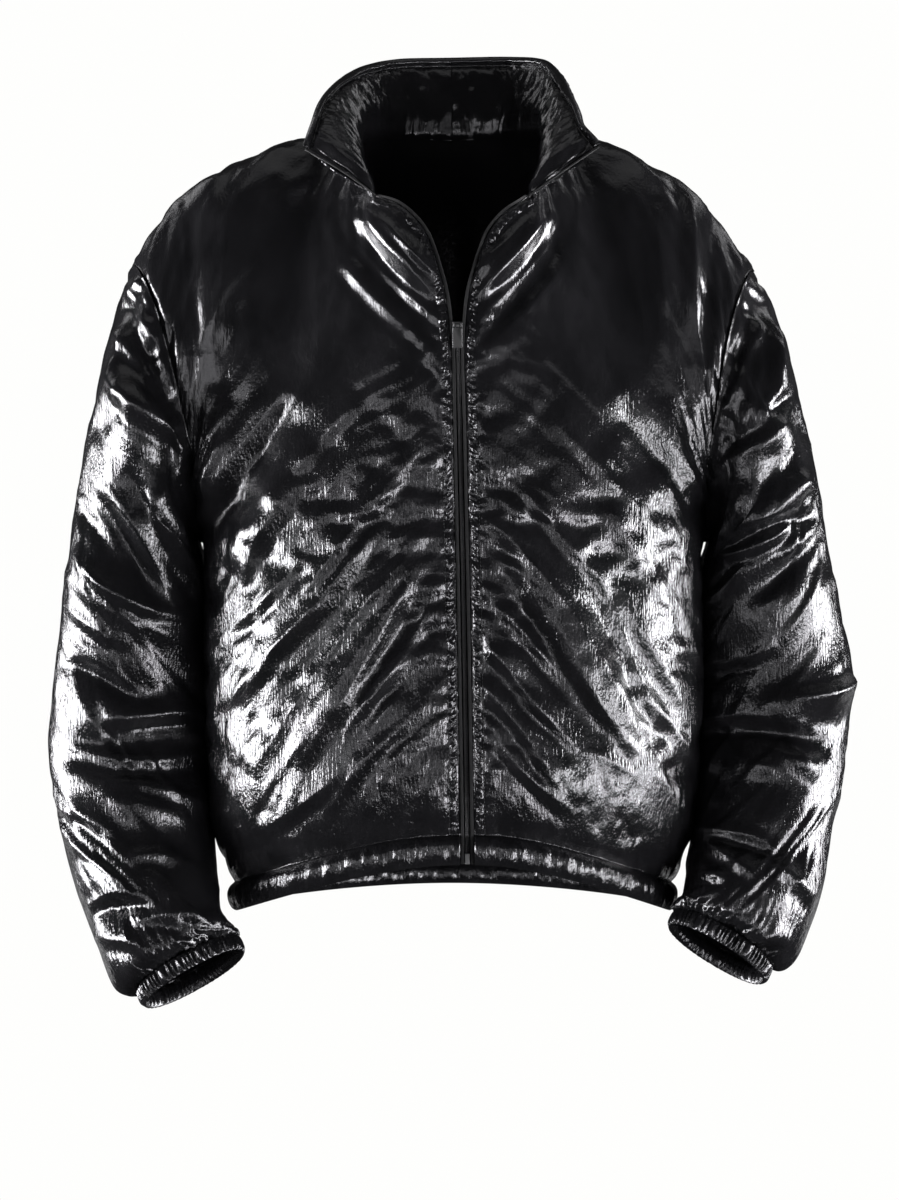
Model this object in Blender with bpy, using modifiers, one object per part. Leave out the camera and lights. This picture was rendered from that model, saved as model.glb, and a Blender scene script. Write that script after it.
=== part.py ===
"""A worn padded jacket: stand collar, dropped sleeves, elastic cuffs, front zip.

Metres, +Z up. The origin is the middle of the neck's base, the front faces -Y
and the wearer's right side is at -X. One smooth skin is worked out for the body
and the sleeves. Each sewn piece is a stretch of that skin, given a padded wall
that thins at its seams, and neighbours stand 0.3 mm or a little more apart.
"""

import math

import bmesh
import bpy
import numpy as np

# ---- cloth
WALL = 0.007  # padded wall, two skins of nylon over thin wadding
SEAM_WALL = 0.003  # the same wall pressed down where it is sewn
SEAM_INSET = 0.00022  # each piece stops this far short of the seam line
FULL_WALL_FROM = 0.024  # distance from a seam where the wall has its full thickness

# ---- how finely the skin is divided
COLUMNS = 16  # zip to side seam, and again from the middle of the back
OPEN_COLUMNS = 3  # of those, the front ones that end at the open part of the zip
NECK_COLUMNS = 8  # and the ones that end there or at the neckline
BODY_ROWS = 12  # underarm to hem seam
ARCH_ROWS = 14  # underarm to shoulder, and so half the sleeve's columns
SLEEVE_ROWS = 17  # down to where the cuff pulls the sleeve in
SLEEVE_END_FROM = 0.90
SLEEVE_END_SHARES = (0.945, 0.980, 1.000)

# ---- zip
ZIP_HALF = 0.0062  # middle of the zip to the front's edge
TAPE_WIDTH = 0.0029
TAPE_THICK = 0.0014
TAPE_GAP = 0.0007
TAPE_COLLAR_GAP = 0.0013
TAPE_FOOT_SHORT = 0.001  # tape's foot to the hem band's lower edge
SEAT_GAP = 0.0003
CHAIN_HALF = 0.0020
CHAIN_THICK = 0.0024
ZIP_TOP_Z = -0.178  # where the chain meets the slider
PIN_DROP = 0.004  # slider's top to the pull tab's pin
ZIP_BOX_TOP = 0.0150  # below the hem seam
ZIP_BOX_SIZE = (0.0044, 0.0036, 0.0095)

RIGHT, LEFT = -1, 1

# ---- body below the underarm, from the underarm ring to the hem seam
BODY_RINGS = (
    # share, z at zip, z at side, z at back, half right, half left, front, back, square
    (0.00, -0.352, -0.370, -0.360, 0.2265, 0.2280, 0.166, 0.150, 2.5),
    (0.12, -0.386, -0.408, -0.397, 0.2225, 0.2250, 0.169, 0.151, 2.5),
    (0.35, -0.450, -0.480, -0.469, 0.2215, 0.2240, 0.171, 0.151, 2.5),
    (0.60, -0.519, -0.558, -0.547, 0.2190, 0.2215, 0.171, 0.149, 2.5),
    (0.85, -0.589, -0.637, -0.625, 0.2130, 0.2150, 0.166, 0.147, 2.4),
    (1.00, -0.631, -0.684, -0.672, 0.2000, 0.2020, 0.151, 0.138, 2.3),
)

# ---- the zip's line, and the front edge above it, measured outward from the zip
ZIP_LINE = (
    # z, x of the zip
    (-0.660, 0.0140),
    (-0.400, 0.0095),
    (-0.170, 0.0045),
)
FRONT_EDGE = (
    # z, distance from the zip's line, y
    (-0.352, 0.0000, -0.1660),
    (-0.270, 0.0000, -0.1680),
    (-0.190, 0.0006, -0.1605),
    (-0.150, 0.0050, -0.1530),
    (-0.120, 0.0125, -0.1470),
)
OPEN_EDGE = (
    (-0.120, 0.0125, -0.1470),
    (-0.096, 0.0225, -0.1400),
    (-0.080, 0.0350, -0.1340),
    (-0.070, 0.0480, -0.1280),
    (-0.063, 0.0610, -0.1200),
)

# ---- neckline, one side: share of its length, x, y, z
NECK_FRONT = (
    (0.00, 0.0672, -0.1200, -0.0630),
    (0.35, 0.0800, -0.0860, -0.0410),
    (0.70, 0.0885, -0.0400, -0.0120),
    (1.00, 0.0900, -0.0020, 0.0080),
)
NECK_BACK = (
    (0.00, 0.0000, 0.0700, 0.0160),
    (0.50, 0.0520, 0.0580, 0.0160),
    (1.00, 0.0900, -0.0020, 0.0080),
)

# ---- top of the shoulder, from the neckline to the armhole: x, z
RIDGE = {
    RIGHT: (
        (0.0900, 0.0080),
        (0.1376, 0.0030),
        (0.1820, -0.0125),
        (0.2080, -0.0240),
        (0.2340, -0.0370),
        (0.2520, -0.0500),
        (0.2725, -0.0750),
        (0.2970, -0.1130),
    ),
    LEFT: (
        (0.0900, 0.0080),
        (0.1386, -0.0005),
        (0.1840, -0.0225),
        (0.2110, -0.0380),
        (0.2240, -0.0490),
        (0.2430, -0.0675),
        (0.2620, -0.0930),
        (0.2810, -0.1180),
    ),
}

# ---- how the cloth leaves the underarm ring and comes over the shoulder
RIDGE_FORWARD = 0.002  # how far the neck's corner lies ahead of the shoulder line
LEAVE_PULLS = (
    # share to the armhole, up, forward
    (0.00, 0.30, 0.00),
    (0.35, 0.32, 0.00),
    (0.70, 0.34, 0.02),
    (0.88, 0.22, 0.18),
    (1.00, 0.12, 0.31),
)
ARRIVE_PULLS = {
    # share to the armhole, over, rising, toward the neck
    -1: (
        (0.00, 0.06, 0.16, 0.00),
        (0.19, 0.06, 0.14, 0.05),
        (0.35, 0.10, 0.08, 0.11),
        (0.50, 0.18, 0.02, 0.11),
        (0.65, 0.30, 0.00, 0.02),
        (0.88, 0.36, 0.00, -0.05),
        (1.00, 0.38, 0.00, -0.10),
    ),
    1: (
        (0.00, 0.20, 0.10, 0.00),
        (0.25, 0.20, 0.08, 0.05),
        (0.50, 0.24, 0.02, 0.10),
        (0.65, 0.31, 0.00, 0.02),
        (0.88, 0.36, 0.00, -0.05),
        (1.00, 0.38, 0.00, -0.10),
    ),
}

# ---- sleeves: outer and inner points of each section, its middle and half depth
SLEEVE_RINGS = {
    RIGHT: (
        # share, outer x, outer z, inner x, inner z, y, half depth, front lift
        (0.09, 0.3100, -0.1720, 0.2370, -0.3740, 0.000, 0.104, 0.00),
        (0.20, 0.3300, -0.2530, 0.2350, -0.3840, 0.000, 0.098, 0.00),
        (0.31, 0.3470, -0.3410, 0.2335, -0.4040, 0.002, 0.090, 0.00),
        (0.42, 0.3575, -0.4260, 0.2330, -0.4450, 0.005, 0.084, 0.00),
        (0.54, 0.3680, -0.5106, 0.2325, -0.5060, 0.009, 0.080, 0.00),
        (0.61, 0.3712, -0.5560, 0.2320, -0.5480, 0.006, 0.080, 0.04),
        (0.70, 0.3625, -0.6140, 0.2315, -0.6000, -0.006, 0.078, 0.12),
        (0.77, 0.3510, -0.6620, 0.2285, -0.6440, -0.022, 0.075, 0.20),
        (0.84, 0.3370, -0.6990, 0.2225, -0.6770, -0.040, 0.072, 0.28),
        (0.90, 0.3215, -0.7340, 0.2150, -0.7030, -0.056, 0.068, 0.33),
        (0.945, 0.3060, -0.7680, 0.2040, -0.7180, -0.069, 0.060, 0.35),
        (0.980, 0.2900, -0.7745, 0.1985, -0.7220, -0.073, 0.048, 0.35),
        (1.00, 0.2835, -0.7760, 0.1975, -0.7285, -0.074, 0.043, 0.35),
    ),
    LEFT: (
        (0.09, 0.2985, -0.1720, 0.2380, -0.3760, 0.000, 0.103, 0.00),
        (0.20, 0.3200, -0.2500, 0.2370, -0.3870, 0.000, 0.098, 0.00),
        (0.31, 0.3390, -0.3340, 0.2360, -0.4050, 0.002, 0.090, 0.00),
        (0.42, 0.3530, -0.4180, 0.2355, -0.4430, 0.006, 0.084, 0.00),
        (0.52, 0.3700, -0.4870, 0.2350, -0.4920, 0.012, 0.080, 0.00),
        (0.60, 0.3640, -0.5400, 0.2345, -0.5380, 0.006, 0.079, 0.05),
        (0.68, 0.3580, -0.5900, 0.2330, -0.5840, -0.006, 0.077, 0.12),
        (0.76, 0.3465, -0.6340, 0.2300, -0.6260, -0.021, 0.075, 0.20),
        (0.84, 0.3380, -0.6770, 0.2245, -0.6600, -0.040, 0.072, 0.28),
        (0.90, 0.3270, -0.7110, 0.2175, -0.6860, -0.056, 0.068, 0.33),
        (0.945, 0.3120, -0.7440, 0.2100, -0.6950, -0.068, 0.060, 0.35),
        (0.980, 0.2945, -0.7510, 0.2065, -0.6985, -0.073, 0.048, 0.35),
        (1.00, 0.2880, -0.7545, 0.2060, -0.7055, -0.074, 0.043, 0.35),
    ),
}
SLEEVE_SQUARE = 2.2
SPRING_SHARE = 0.05  # beside the armhole the lower sleeve springs out before it hangs
SPRING_OUT = 0.011
SPRING_UP = 0.011

# ---- largest folds of the worn cloth, as lines seen from the front or the back
FOLDS = (
    # seen from (-1 front, 1 back), x and z at each end, half width, depth (- is a trough)
    (-1, -0.243, -0.050, -0.236, -0.190, 0.013, -0.008),
    (-1, 0.243, -0.052, 0.226, -0.200, 0.013, -0.008),
    (-1, -0.216, -0.362, -0.150, -0.250, 0.014, -0.008),
    (-1, -0.190, -0.390, -0.130, -0.290, 0.013, 0.006),
    (-1, -0.212, -0.240, -0.214, -0.350, 0.012, 0.006),
    (-1, -0.170, -0.545, -0.045, -0.380, 0.014, -0.007),
    (-1, -0.130, -0.550, -0.035, -0.375, 0.014, 0.006),
    (-1, -0.090, -0.500, -0.020, -0.430, 0.013, -0.005),
    (-1, 0.040, -0.395, 0.130, -0.540, 0.014, -0.007),
    (-1, 0.065, -0.385, 0.160, -0.540, 0.014, 0.006),
    (-1, 0.120, -0.370, 0.190, -0.545, 0.014, -0.006),
    (-1, 0.205, -0.330, 0.150, -0.250, 0.014, -0.007),
    (-1, -0.078, -0.075, -0.012, -0.150, 0.012, 0.007),
    (-1, -0.092, -0.090, -0.022, -0.185, 0.011, -0.006),
    (-1, 0.082, -0.075, 0.025, -0.150, 0.012, 0.007),
    (-1, 0.098, -0.090, 0.034, -0.185, 0.011, -0.006),
    (1, -0.210, -0.340, -0.120, -0.230, 0.016, -0.008),
    (1, 0.210, -0.340, 0.125, -0.225, 0.016, -0.008),
    (1, -0.190, -0.400, -0.060, -0.330, 0.016, -0.006),
    (1, 0.190, -0.410, 0.050, -0.345, 0.016, -0.006),
    (1, -0.180, -0.530, -0.020, -0.450, 0.017, -0.007),
    (1, 0.185, -0.560, 0.030, -0.470, 0.017, -0.007),
    (1, -0.150, -0.610, 0.020, -0.560, 0.016, 0.006),
    (1, -0.232, -0.060, -0.228, -0.190, 0.014, -0.007),
    (1, 0.228, -0.062, 0.222, -0.190, 0.014, -0.007),
    (-1, -0.290, -0.150, -0.250, -0.270, 0.014, -0.008),
    (-1, -0.305, -0.215, -0.250, -0.300, 0.013, 0.007),
    (-1, -0.335, -0.320, -0.250, -0.420, 0.014, -0.009),
    (-1, -0.345, -0.390, -0.250, -0.450, 0.013, 0.008),
    (-1, -0.350, -0.470, -0.270, -0.510, 0.013, -0.008),
    (-1, -0.355, -0.555, -0.245, -0.545, 0.014, -0.010),
    (-1, -0.310, -0.590, -0.240, -0.615, 0.012, 0.007),
    (-1, -0.330, -0.690, -0.260, -0.690, 0.013, -0.007),
    (-1, 0.280, -0.150, 0.242, -0.280, 0.014, -0.008),
    (-1, 0.325, -0.335, 0.245, -0.365, 0.014, -0.010),
    (-1, 0.325, -0.300, 0.262, -0.355, 0.012, 0.008),
    (-1, 0.345, -0.370, 0.250, -0.420, 0.013, -0.008),
    (-1, 0.358, -0.490, 0.295, -0.520, 0.013, 0.008),
    (-1, 0.345, -0.545, 0.240, -0.530, 0.014, -0.010),
    (-1, 0.325, -0.570, 0.265, -0.565, 0.012, 0.007),
    (-1, 0.320, -0.650, 0.245, -0.625, 0.013, -0.008),
    (1, -0.325, -0.280, -0.250, -0.350, 0.015, -0.009),
    (1, -0.345, -0.390, -0.250, -0.430, 0.014, 0.007),
    (1, -0.350, -0.520, -0.250, -0.500, 0.015, -0.010),
    (1, -0.345, -0.610, -0.250, -0.590, 0.014, -0.007),
    (1, 0.320, -0.270, 0.250, -0.345, 0.015, -0.009),
    (1, 0.340, -0.380, 0.250, -0.420, 0.014, 0.007),
    (1, 0.350, -0.510, 0.250, -0.495, 0.015, -0.010),
    (1, 0.335, -0.600, 0.250, -0.580, 0.014, -0.007),
)
FOLD_SEEN_FROM = 0.05  # least part of the normal that faces the seeing side
FOLD_RUN_OUT = 0.1  # share of its length by which a fold fades past each end
FOLD_BREADTH = 1.2  # every fold's half width and depth are scaled together
FOLD_STRENGTH = 1.35
ZIP_STIFF_WIDTH = 0.022  # folds fade out this near the zip's line

# ---- collar: share from its front end to the middle of the back, and its top edge
COLLAR_TOP = {
    # share, x, y, z, outward bulge of the middle
    RIGHT: (
        (0.00, 0.1340, -0.1010, -0.0140, 0.000),
        (0.12, 0.1270, -0.0780, 0.0120, 0.004),
        (0.26, 0.1200, -0.0450, 0.0360, 0.007),
        (0.40, 0.1080, -0.0100, 0.0560, 0.008),
        (0.54, 0.0930, 0.0220, 0.0720, 0.007),
        (0.68, 0.0780, 0.0480, 0.0830, 0.006),
        (0.82, 0.0540, 0.0730, 0.0920, 0.005),
        (1.00, 0.0000, 0.0900, 0.0960, 0.004),
    ),
    LEFT: (
        (0.00, 0.1335, -0.1010, -0.0120, 0.000),
        (0.12, 0.1205, -0.0800, 0.0060, 0.003),
        (0.26, 0.1145, -0.0500, 0.0290, 0.005),
        (0.40, 0.1055, -0.0180, 0.0510, 0.006),
        (0.54, 0.0975, 0.0120, 0.0700, 0.006),
        (0.68, 0.0860, 0.0440, 0.0870, 0.005),
        (0.82, 0.0580, 0.0720, 0.0940, 0.005),
        (1.00, 0.0000, 0.0900, 0.0960, 0.004),
    ),
}
NECK_MIDDLE = np.array((0.0, -0.02, -0.01))
COLLAR_STAND = 1.4  # how upright the collar leaves its seam
COLLAR_LEAVE_PULL = 1.1
COLLAR_ARRIVE_PULL = 0.9
COLLAR_CLEAR = 0.0052  # the rolled collar's outer face stays this far off the shoulder's skin
COLLAR_CLEAR_FROM = 2  # first of the rows below that is kept clear
COLLAR_SKIN_FROM = -0.12  # height above which the body's skin can meet the collar
COLLAR_END_PINCH = 0.35  # the collar's wall at the zip, as a share
COLLAR_ROWS = (
    # share of its height, wall outward and inward of the middle surface
    (0.00, 0.0014, 0.0034),
    (0.10, 0.0016, 0.0080),
    (0.30, 0.0035, 0.0120),
    (0.55, 0.0065, 0.0110),
    (0.80, 0.0065, 0.0070),
    (0.88, 0.0030, 0.0035),
    (0.95, 0.0055, 0.0055),
    (1.00, 0.0020, 0.0020),
)
COLLAR_FOLDS = (
    # side, share along, share up, half width along, half width up, depth
    (RIGHT, 0.20, 0.62, 0.10, 0.10, -0.005),
    (LEFT, 0.24, 0.58, 0.12, 0.10, -0.006),
    (RIGHT, 0.62, 0.50, 0.08, 0.20, -0.004),
    (LEFT, 0.66, 0.45, 0.08, 0.20, -0.004),
)

# ---- hem band and cuffs: outward and down from the seam's middle line
HEM_PROFILE = (
    (0.0016, 0.0006),
    (0.0066, 0.0065),
    (0.0070, 0.0150),
    (0.0045, 0.0225),
    (0.0000, 0.0262),
    (-0.0050, 0.0215),
    (-0.0060, 0.0120),
    (-0.0018, 0.0006),
)
HEM_TUCKED_FROM = 0.004  # the tucks show where the profile stands out this far
HEM_TUCK_DEPTH = 0.0009  # soft puckers round the band
CUFF_GATHERS = 56
CUFF_GATHER_DEPTH = 0.0011
CUFF_PROFILE = (
    (0.0016, 0.0006),
    (0.0036, 0.0050),
    (0.0034, 0.0120),
    (0.0010, 0.0165),
    (-0.0016, 0.0085),
)
CUFF_GATHERED_POINTS = 3  # profile points 1 to 3 carry the gathers

# ---- slider and pull tab, measured from the pin's axis
PULL_WIDTH = 0.0085
PULL_LENGTH = 0.0200
PULL_THICK = 0.0012
PIN_RADIUS = 0.0005
EYE_HOLE_RADIUS = 0.0009
EYE_RADIUS = 0.0015
EYE_WIDTH = 0.0034
EAR_WIDTH = 0.0012
EAR_GAP = 0.0044  # between the ears' inner faces
EAR_HEIGHT = 0.0028
EAR_PAST_PIN = 0.0012
EAR_SUNK = 0.001  # how far the ears start inside the slider's body
NECK_INSET = 0.0002
NECK_DROP = 0.0006
SLIDER_BEVEL = 0.0002
BOX_BEVEL = 0.0004
SLOPE_REACH = 0.010  # above and below the pin, for the chest's slope there
SLIDER_SIZE = (0.0086, 0.0026, 0.0115)
PIN_STANDOFF = 0.0020  # slider's face to the pin's axis
PULL_NECK = 0.0024  # pin's axis to where the tab gains its full width

CLOTH_BLACK = (0.006, 0.006, 0.007)
TRIM_BLACK = (0.012, 0.012, 0.012)
METAL_BLACK = (0.020, 0.020, 0.021)
CLOTH_ROUGHNESS = 0.22
CUFF_ROUGHNESS = 0.3
TRIM_ROUGHNESS = 0.5
METAL_ROUGHNESS = 0.45
METAL_SHARE = 0.6


# ---- numbers along tables


def column(table, index):
    return [row[index] for row in table]


def between(share, table, index):
    """A table's column, read at a share of the way, joined smoothly."""
    shares = np.array(column(table, 0), float)
    values = np.array(column(table, index), float)
    slopes = np.gradient(values, shares)
    at = int(np.clip(np.searchsorted(shares, share) - 1, 0, len(shares) - 2))
    width = shares[at + 1] - shares[at]
    u = (share - shares[at]) / width
    return blend(values[at], slopes[at] * width, values[at + 1], slopes[at + 1] * width, u)


def blend(start, leave, end, arrive, u):
    """Cubic from start to end with the given pulls."""
    rest = 1 - u
    return (
        start * (1 + 2 * u) * rest * rest
        + leave * u * rest * rest
        + end * u * u * (3 - 2 * u)
        - arrive * u * u * rest
    )


def along(points, share):
    """The point at a share of the length of a line through the points."""
    points = np.array(points, float)
    steps = np.linalg.norm(np.diff(points, axis=0), axis=1)
    places = np.concatenate(([0.0], np.cumsum(steps))) / steps.sum()
    table = np.column_stack((places, points))
    return np.array([between(share, table, i) for i in range(1, table.shape[1])])


def unit(vector):
    return vector / np.linalg.norm(vector)


def nearest(points, place):
    gaps = np.sum((np.array(points) - place) ** 2, axis=1)
    return int(np.argmin(gaps))


def zip_x(z):
    heights = column(ZIP_LINE, 0)
    return float(np.interp(z, heights, column(ZIP_LINE, 1)))


# ---- body skin


def quarter_ring(half_width, depth, square):
    """Points a quarter of the way round a squarish ring, evenly spaced."""
    turns = np.linspace(0, math.pi / 2, 200)
    x = half_width * np.sin(turns) ** (2 / square)
    y = depth * np.cos(turns) ** (2 / square)
    steps = np.hypot(np.diff(x), np.diff(y))
    lengths = np.concatenate(([0.0], np.cumsum(steps)))
    wanted = np.linspace(0, lengths[-1], COLUMNS + 1)
    return np.interp(wanted, lengths, x), np.interp(wanted, lengths, y)


def body_ring(side, face, share):
    """Quarter ring of the body, from the zip or the middle back to the side."""
    z_front, z_side, z_back, right, left, front, back, square = (
        between(share, BODY_RINGS, i) for i in range(1, 9)
    )
    half = right if side == RIGHT else left
    depth = front if face == -1 else back
    z_middle = z_front if face == -1 else z_back
    xs, ys = quarter_ring(half, depth, square)
    points = []
    for i, (x, y) in enumerate(zip(xs, ys)):
        part = i / COLUMNS
        z = z_middle + (z_side - z_middle) * part * part * (3 - 2 * part)
        if face == -1:
            shift = (1 - part) ** 2
            x_here = side * x + shift * (zip_x(z) + side * ZIP_HALF)
        else:
            x_here = side * x
        points.append(np.array((x_here, face * y, z)))
    return points


def neck_point(side, face, share):
    table = NECK_FRONT if face == -1 else NECK_BACK
    x, y, z = (between(share, table, i) for i in (1, 2, 3))
    return np.array((side * x, y, z))


def ridge_point(side, share):
    x, z = along(RIDGE[side], share)
    return np.array((side * x, -RIDGE_FORWARD * (1 - share), z))


def edge_line(side, table):
    return [np.array((zip_x(z) + side * (ZIP_HALF + out), y, z)) for z, out, y in table]


def top_point(side, face, i):
    """Where column i ends: on the zip's open part, the neckline or the shoulder."""
    first = OPEN_COLUMNS if face == -1 else 0
    if i < first:
        line = edge_line(side, OPEN_EDGE[:-1]) + [neck_point(side, -1, 0.0)]
        return along(line, i / first)
    if i <= NECK_COLUMNS:
        return neck_point(side, face, (i - first) / (NECK_COLUMNS - first))
    return ridge_point(side, (i - NECK_COLUMNS) / (COLUMNS - NECK_COLUMNS))


def arch(side, face, i, ring):
    """Column i from the underarm ring up to its end."""
    part = i / COLUMNS
    up, forward = (between(part, LEAVE_PULLS, k) for k in (1, 2))
    over, rise, toward = (between(part, ARRIVE_PULLS[face], k) for k in (1, 2, 3))
    leave = np.array((0.0, face * forward, up))
    arrive = np.array((-side * toward, -face * over, rise))
    end = top_point(side, face, i)
    rows = range(ARCH_ROWS + 1)
    return [blend(ring[i], leave, end, arrive, row / ARCH_ROWS) for row in rows]


def arches(side, face, ring):
    """All the columns of one quarter of the body above the underarm."""
    columns = [arch(side, face, i, ring) for i in range(COLUMNS + 1)]
    if face == -1:
        line = edge_line(side, FRONT_EDGE)
        edge = [along(line, row / ARCH_ROWS) for row in range(ARCH_ROWS + 1)]
        edge[0] = ring[0]
        change = [e - p for e, p in zip(edge, columns[0])]
        for i in range(NECK_COLUMNS):
            fade = (1 - i / NECK_COLUMNS) ** 2
            columns[i] = [p + c * fade for p, c in zip(columns[i], change)]
    return columns


# ---- sleeve skin


def sleeve_section(row, side, turn):
    """A point of one of the sleeve's sections; turn runs from the inner side, forward."""
    _, outer_x, outer_z, inner_x, inner_z, y, half_depth, lift = row
    outer = np.array((side * outer_x, y, outer_z))
    inner = np.array((side * inner_x, y, inner_z))
    middle = (outer + inner) / 2
    forward = np.array((0.0, -1.0, lift)) / math.hypot(1.0, lift)
    cosine, sine = math.cos(turn), math.sin(turn)
    power = 2 / SLEEVE_SQUARE
    across = math.copysign(abs(cosine) ** power, cosine)
    deep = math.copysign(abs(sine) ** power, sine)
    return middle + (inner - middle) * across + forward * half_depth * deep


def sleeve_columns(side, armhole):
    """Lines down the sleeve, one from each point of the armhole."""
    count = len(armhole)
    lines = []
    for k, start in enumerate(armhole):
        turn = 2 * math.pi * k / count
        first = SLEEVE_RINGS[side][0]
        low = (1 + math.cos(turn)) / 2
        spring = start + (sleeve_section(first, side, turn) - start) * SPRING_SHARE / first[0]
        spring = spring + np.array((side * SPRING_OUT, 0.0, SPRING_UP)) * low
        rows = [(0.0, *start), (SPRING_SHARE, *spring)]
        for section in SLEEVE_RINGS[side]:
            rows.append((section[0], *sleeve_section(section, side, turn)))
        line = []
        shares = [SLEEVE_END_FROM * row / SLEEVE_ROWS for row in range(SLEEVE_ROWS + 1)]
        for share in (*shares, *SLEEVE_END_SHARES):
            line.append(np.array([between(share, rows, i) for i in (1, 2, 3)]))
        lines.append(line)
    return lines


# ---- the whole skin, with shared points


class Skin:
    """Points shared by all the pieces, and the four-sided faces of each piece."""

    def __init__(self):
        self.points = []
        self.known = {}
        self.faces = {}
        self.cuff_rings = {}

    def point(self, place):
        key = tuple(round(float(v), 6) for v in place)
        if key not in self.known:
            self.known[key] = len(self.points)
            self.points.append(np.array(place, float))
        return self.known[key]

    def patch(self, name, lines, flip):
        """Faces between neighbouring lines of points."""
        made = self.faces.setdefault(name, [])
        ids = [[self.point(p) for p in line] for line in lines]
        for first, second in zip(ids, ids[1:]):
            for k in range(len(first) - 1):
                face = [first[k], second[k], second[k + 1], first[k + 1]]
                face = [v for n, v in enumerate(face) if v != face[n - 1]]
                if len(face) >= 3:
                    made.append(face[::-1] if flip else face)
        return ids

    def normals(self):
        total = np.zeros((len(self.points), 3))
        for faces in self.faces.values():
            for face in faces:
                corners = [self.points[v] for v in face]
                across = np.cross(corners[2] - corners[0], corners[-1] - corners[1])
                for v in face:
                    total[v] += across
        total = total / np.linalg.norm(total, axis=1)[:, None]
        for ring in self.cuff_rings.values():
            middle = np.mean(ring, axis=0)
            for place in ring:
                total[self.point(place)] = unit(place - middle)
        return total


def fold_depth(place, facing):
    """How far the largest folds move a point of the skin outward."""
    depth = 0.0
    stiff = 1.0
    if place[1] < 0:
        stiff = min(1.0, max(0.0, abs(place[0] - zip_x(place[2])) - ZIP_HALF) / ZIP_STIFF_WIDTH)
    for seen, x0, z0, x1, z1, width, height in FOLDS:
        if seen * facing[1] <= FOLD_SEEN_FROM:
            continue
        start = np.array((x0, z0))
        line = np.array((x1, z1)) - start
        here = np.array((place[0], place[2])) - start
        share = float(here @ line) / float(line @ line)
        if not -FOLD_RUN_OUT < share < 1 + FOLD_RUN_OUT:
            continue
        away = abs(line[0] * here[1] - line[1] * here[0]) / math.hypot(*line)
        taper = math.sin(math.pi * (share + FOLD_RUN_OUT) / (1 + 2 * FOLD_RUN_OUT))
        turned = min(1.0, 2 * abs(facing[1]))
        across = away / (width * FOLD_BREADTH)
        depth += height * FOLD_STRENGTH * turned * taper * math.exp(-across * across)
    return depth * stiff


def make_skin():
    skin = Skin()
    armholes = {}
    for side in (RIGHT, LEFT):
        upper = {}
        for face in (-1, 1):
            rings = [body_ring(side, face, row / BODY_ROWS) for row in range(BODY_ROWS + 1)]
            lower = [[ring[i] for ring in rings] for i in range(COLUMNS + 1)]
            upper[face] = arches(side, face, rings[0])
            if face == -1:
                name = "front_right" if side == RIGHT else "front_left"
            else:
                name = "back"
            skin.patch(name, lower, flip=side * face == -1)
            skin.patch(name, upper[face], flip=side * face == 1)
        front, back = upper[-1][COLUMNS], upper[1][COLUMNS]
        armholes[side] = front + back[-2:0:-1]
    for side in (RIGHT, LEFT):
        lines = sleeve_columns(side, armholes[side])
        skin.cuff_rings[side] = [line[-1] for line in lines]
        lines.append(lines[0])
        name = "sleeve_right" if side == RIGHT else "sleeve_left"
        skin.patch(name, lines, flip=side == LEFT)
    facing = skin.normals()
    skin.points = [p + n * fold_depth(p, n) for p, n in zip(skin.points, facing)]
    return skin


# ---- solids


def new_object(name, mesh, group, colour, roughness, metallic=0.0):
    material = bpy.data.materials.new(name)
    material.use_nodes = True
    shader = material.node_tree.nodes["Principled BSDF"]
    shader.inputs["Base Color"].default_value = (*colour, 1.0)
    shader.inputs["Roughness"].default_value = roughness
    shader.inputs["Metallic"].default_value = metallic
    mesh.materials.append(material)
    thing = bpy.data.objects.new(name, mesh)
    group.objects.link(thing)
    return thing


def cloth_object(name, points, faces, group, colour=CLOTH_BLACK, roughness=CLOTH_ROUGHNESS):
    mesh = bpy.data.meshes.new(name)
    mesh.from_pydata([tuple(p) for p in points], [], faces)
    mesh.validate()
    work = bmesh.new()
    work.from_mesh(mesh)
    bmesh.ops.recalc_face_normals(work, faces=work.faces)
    bmesh.ops.triangulate(work, faces=work.faces)
    work.to_mesh(mesh)
    work.free()
    mesh.shade_smooth()
    return new_object(name, mesh, group, colour, roughness)


def panel(name, skin, facing, group):
    """One sewn piece: its stretch of skin with a wall that thins at its edges."""
    faces = skin.faces[name]
    used = sorted({v for face in faces for v in face})
    number = {v: k for k, v in enumerate(used)}
    sides = {}
    inward = {v: np.zeros(3) for v in used}
    seam_run = {v: np.zeros(3) for v in used}
    for face in faces:
        middle = np.mean([skin.points[v] for v in face], axis=0)
        for a, b in zip(face, face[1:] + face[:1]):
            sides[(a, b)] = sides.get((a, b), 0) + 1
        for v in face:
            inward[v] += middle - skin.points[v]
    rim = [(a, b) for a, b in sides if (b, a) not in sides]
    on_rim = {v for edge in rim for v in edge}
    for a, b in rim:
        step = unit(skin.points[b] - skin.points[a])
        seam_run[a] += step
        seam_run[b] += step
    rim_points = np.array([skin.points[v] for v in on_rim])
    outer, inner = [], []
    for v in used:
        place, normal = skin.points[v].copy(), facing[v]
        away = float(np.min(np.linalg.norm(rim_points - place, axis=1)))
        full = min(1.0, away / FULL_WALL_FROM)
        half = (SEAM_WALL + (WALL - SEAM_WALL) * full) / 2
        if v in on_rim:
            into = unit(np.cross(normal, seam_run[v]))
            into = into if float(into @ inward[v]) > 0 else -into
            place = place + into * SEAM_INSET
        outer.append(place + normal * half)
        inner.append(place - normal * half)
    count = len(used)
    solid = [[number[v] for v in face] for face in faces]
    solid += [[number[v] + count for v in reversed(face)] for face in faces]
    solid += [[number[b], number[a], number[a] + count, number[b] + count] for a, b in rim]
    return cloth_object(name, outer + inner, solid, group)


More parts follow.
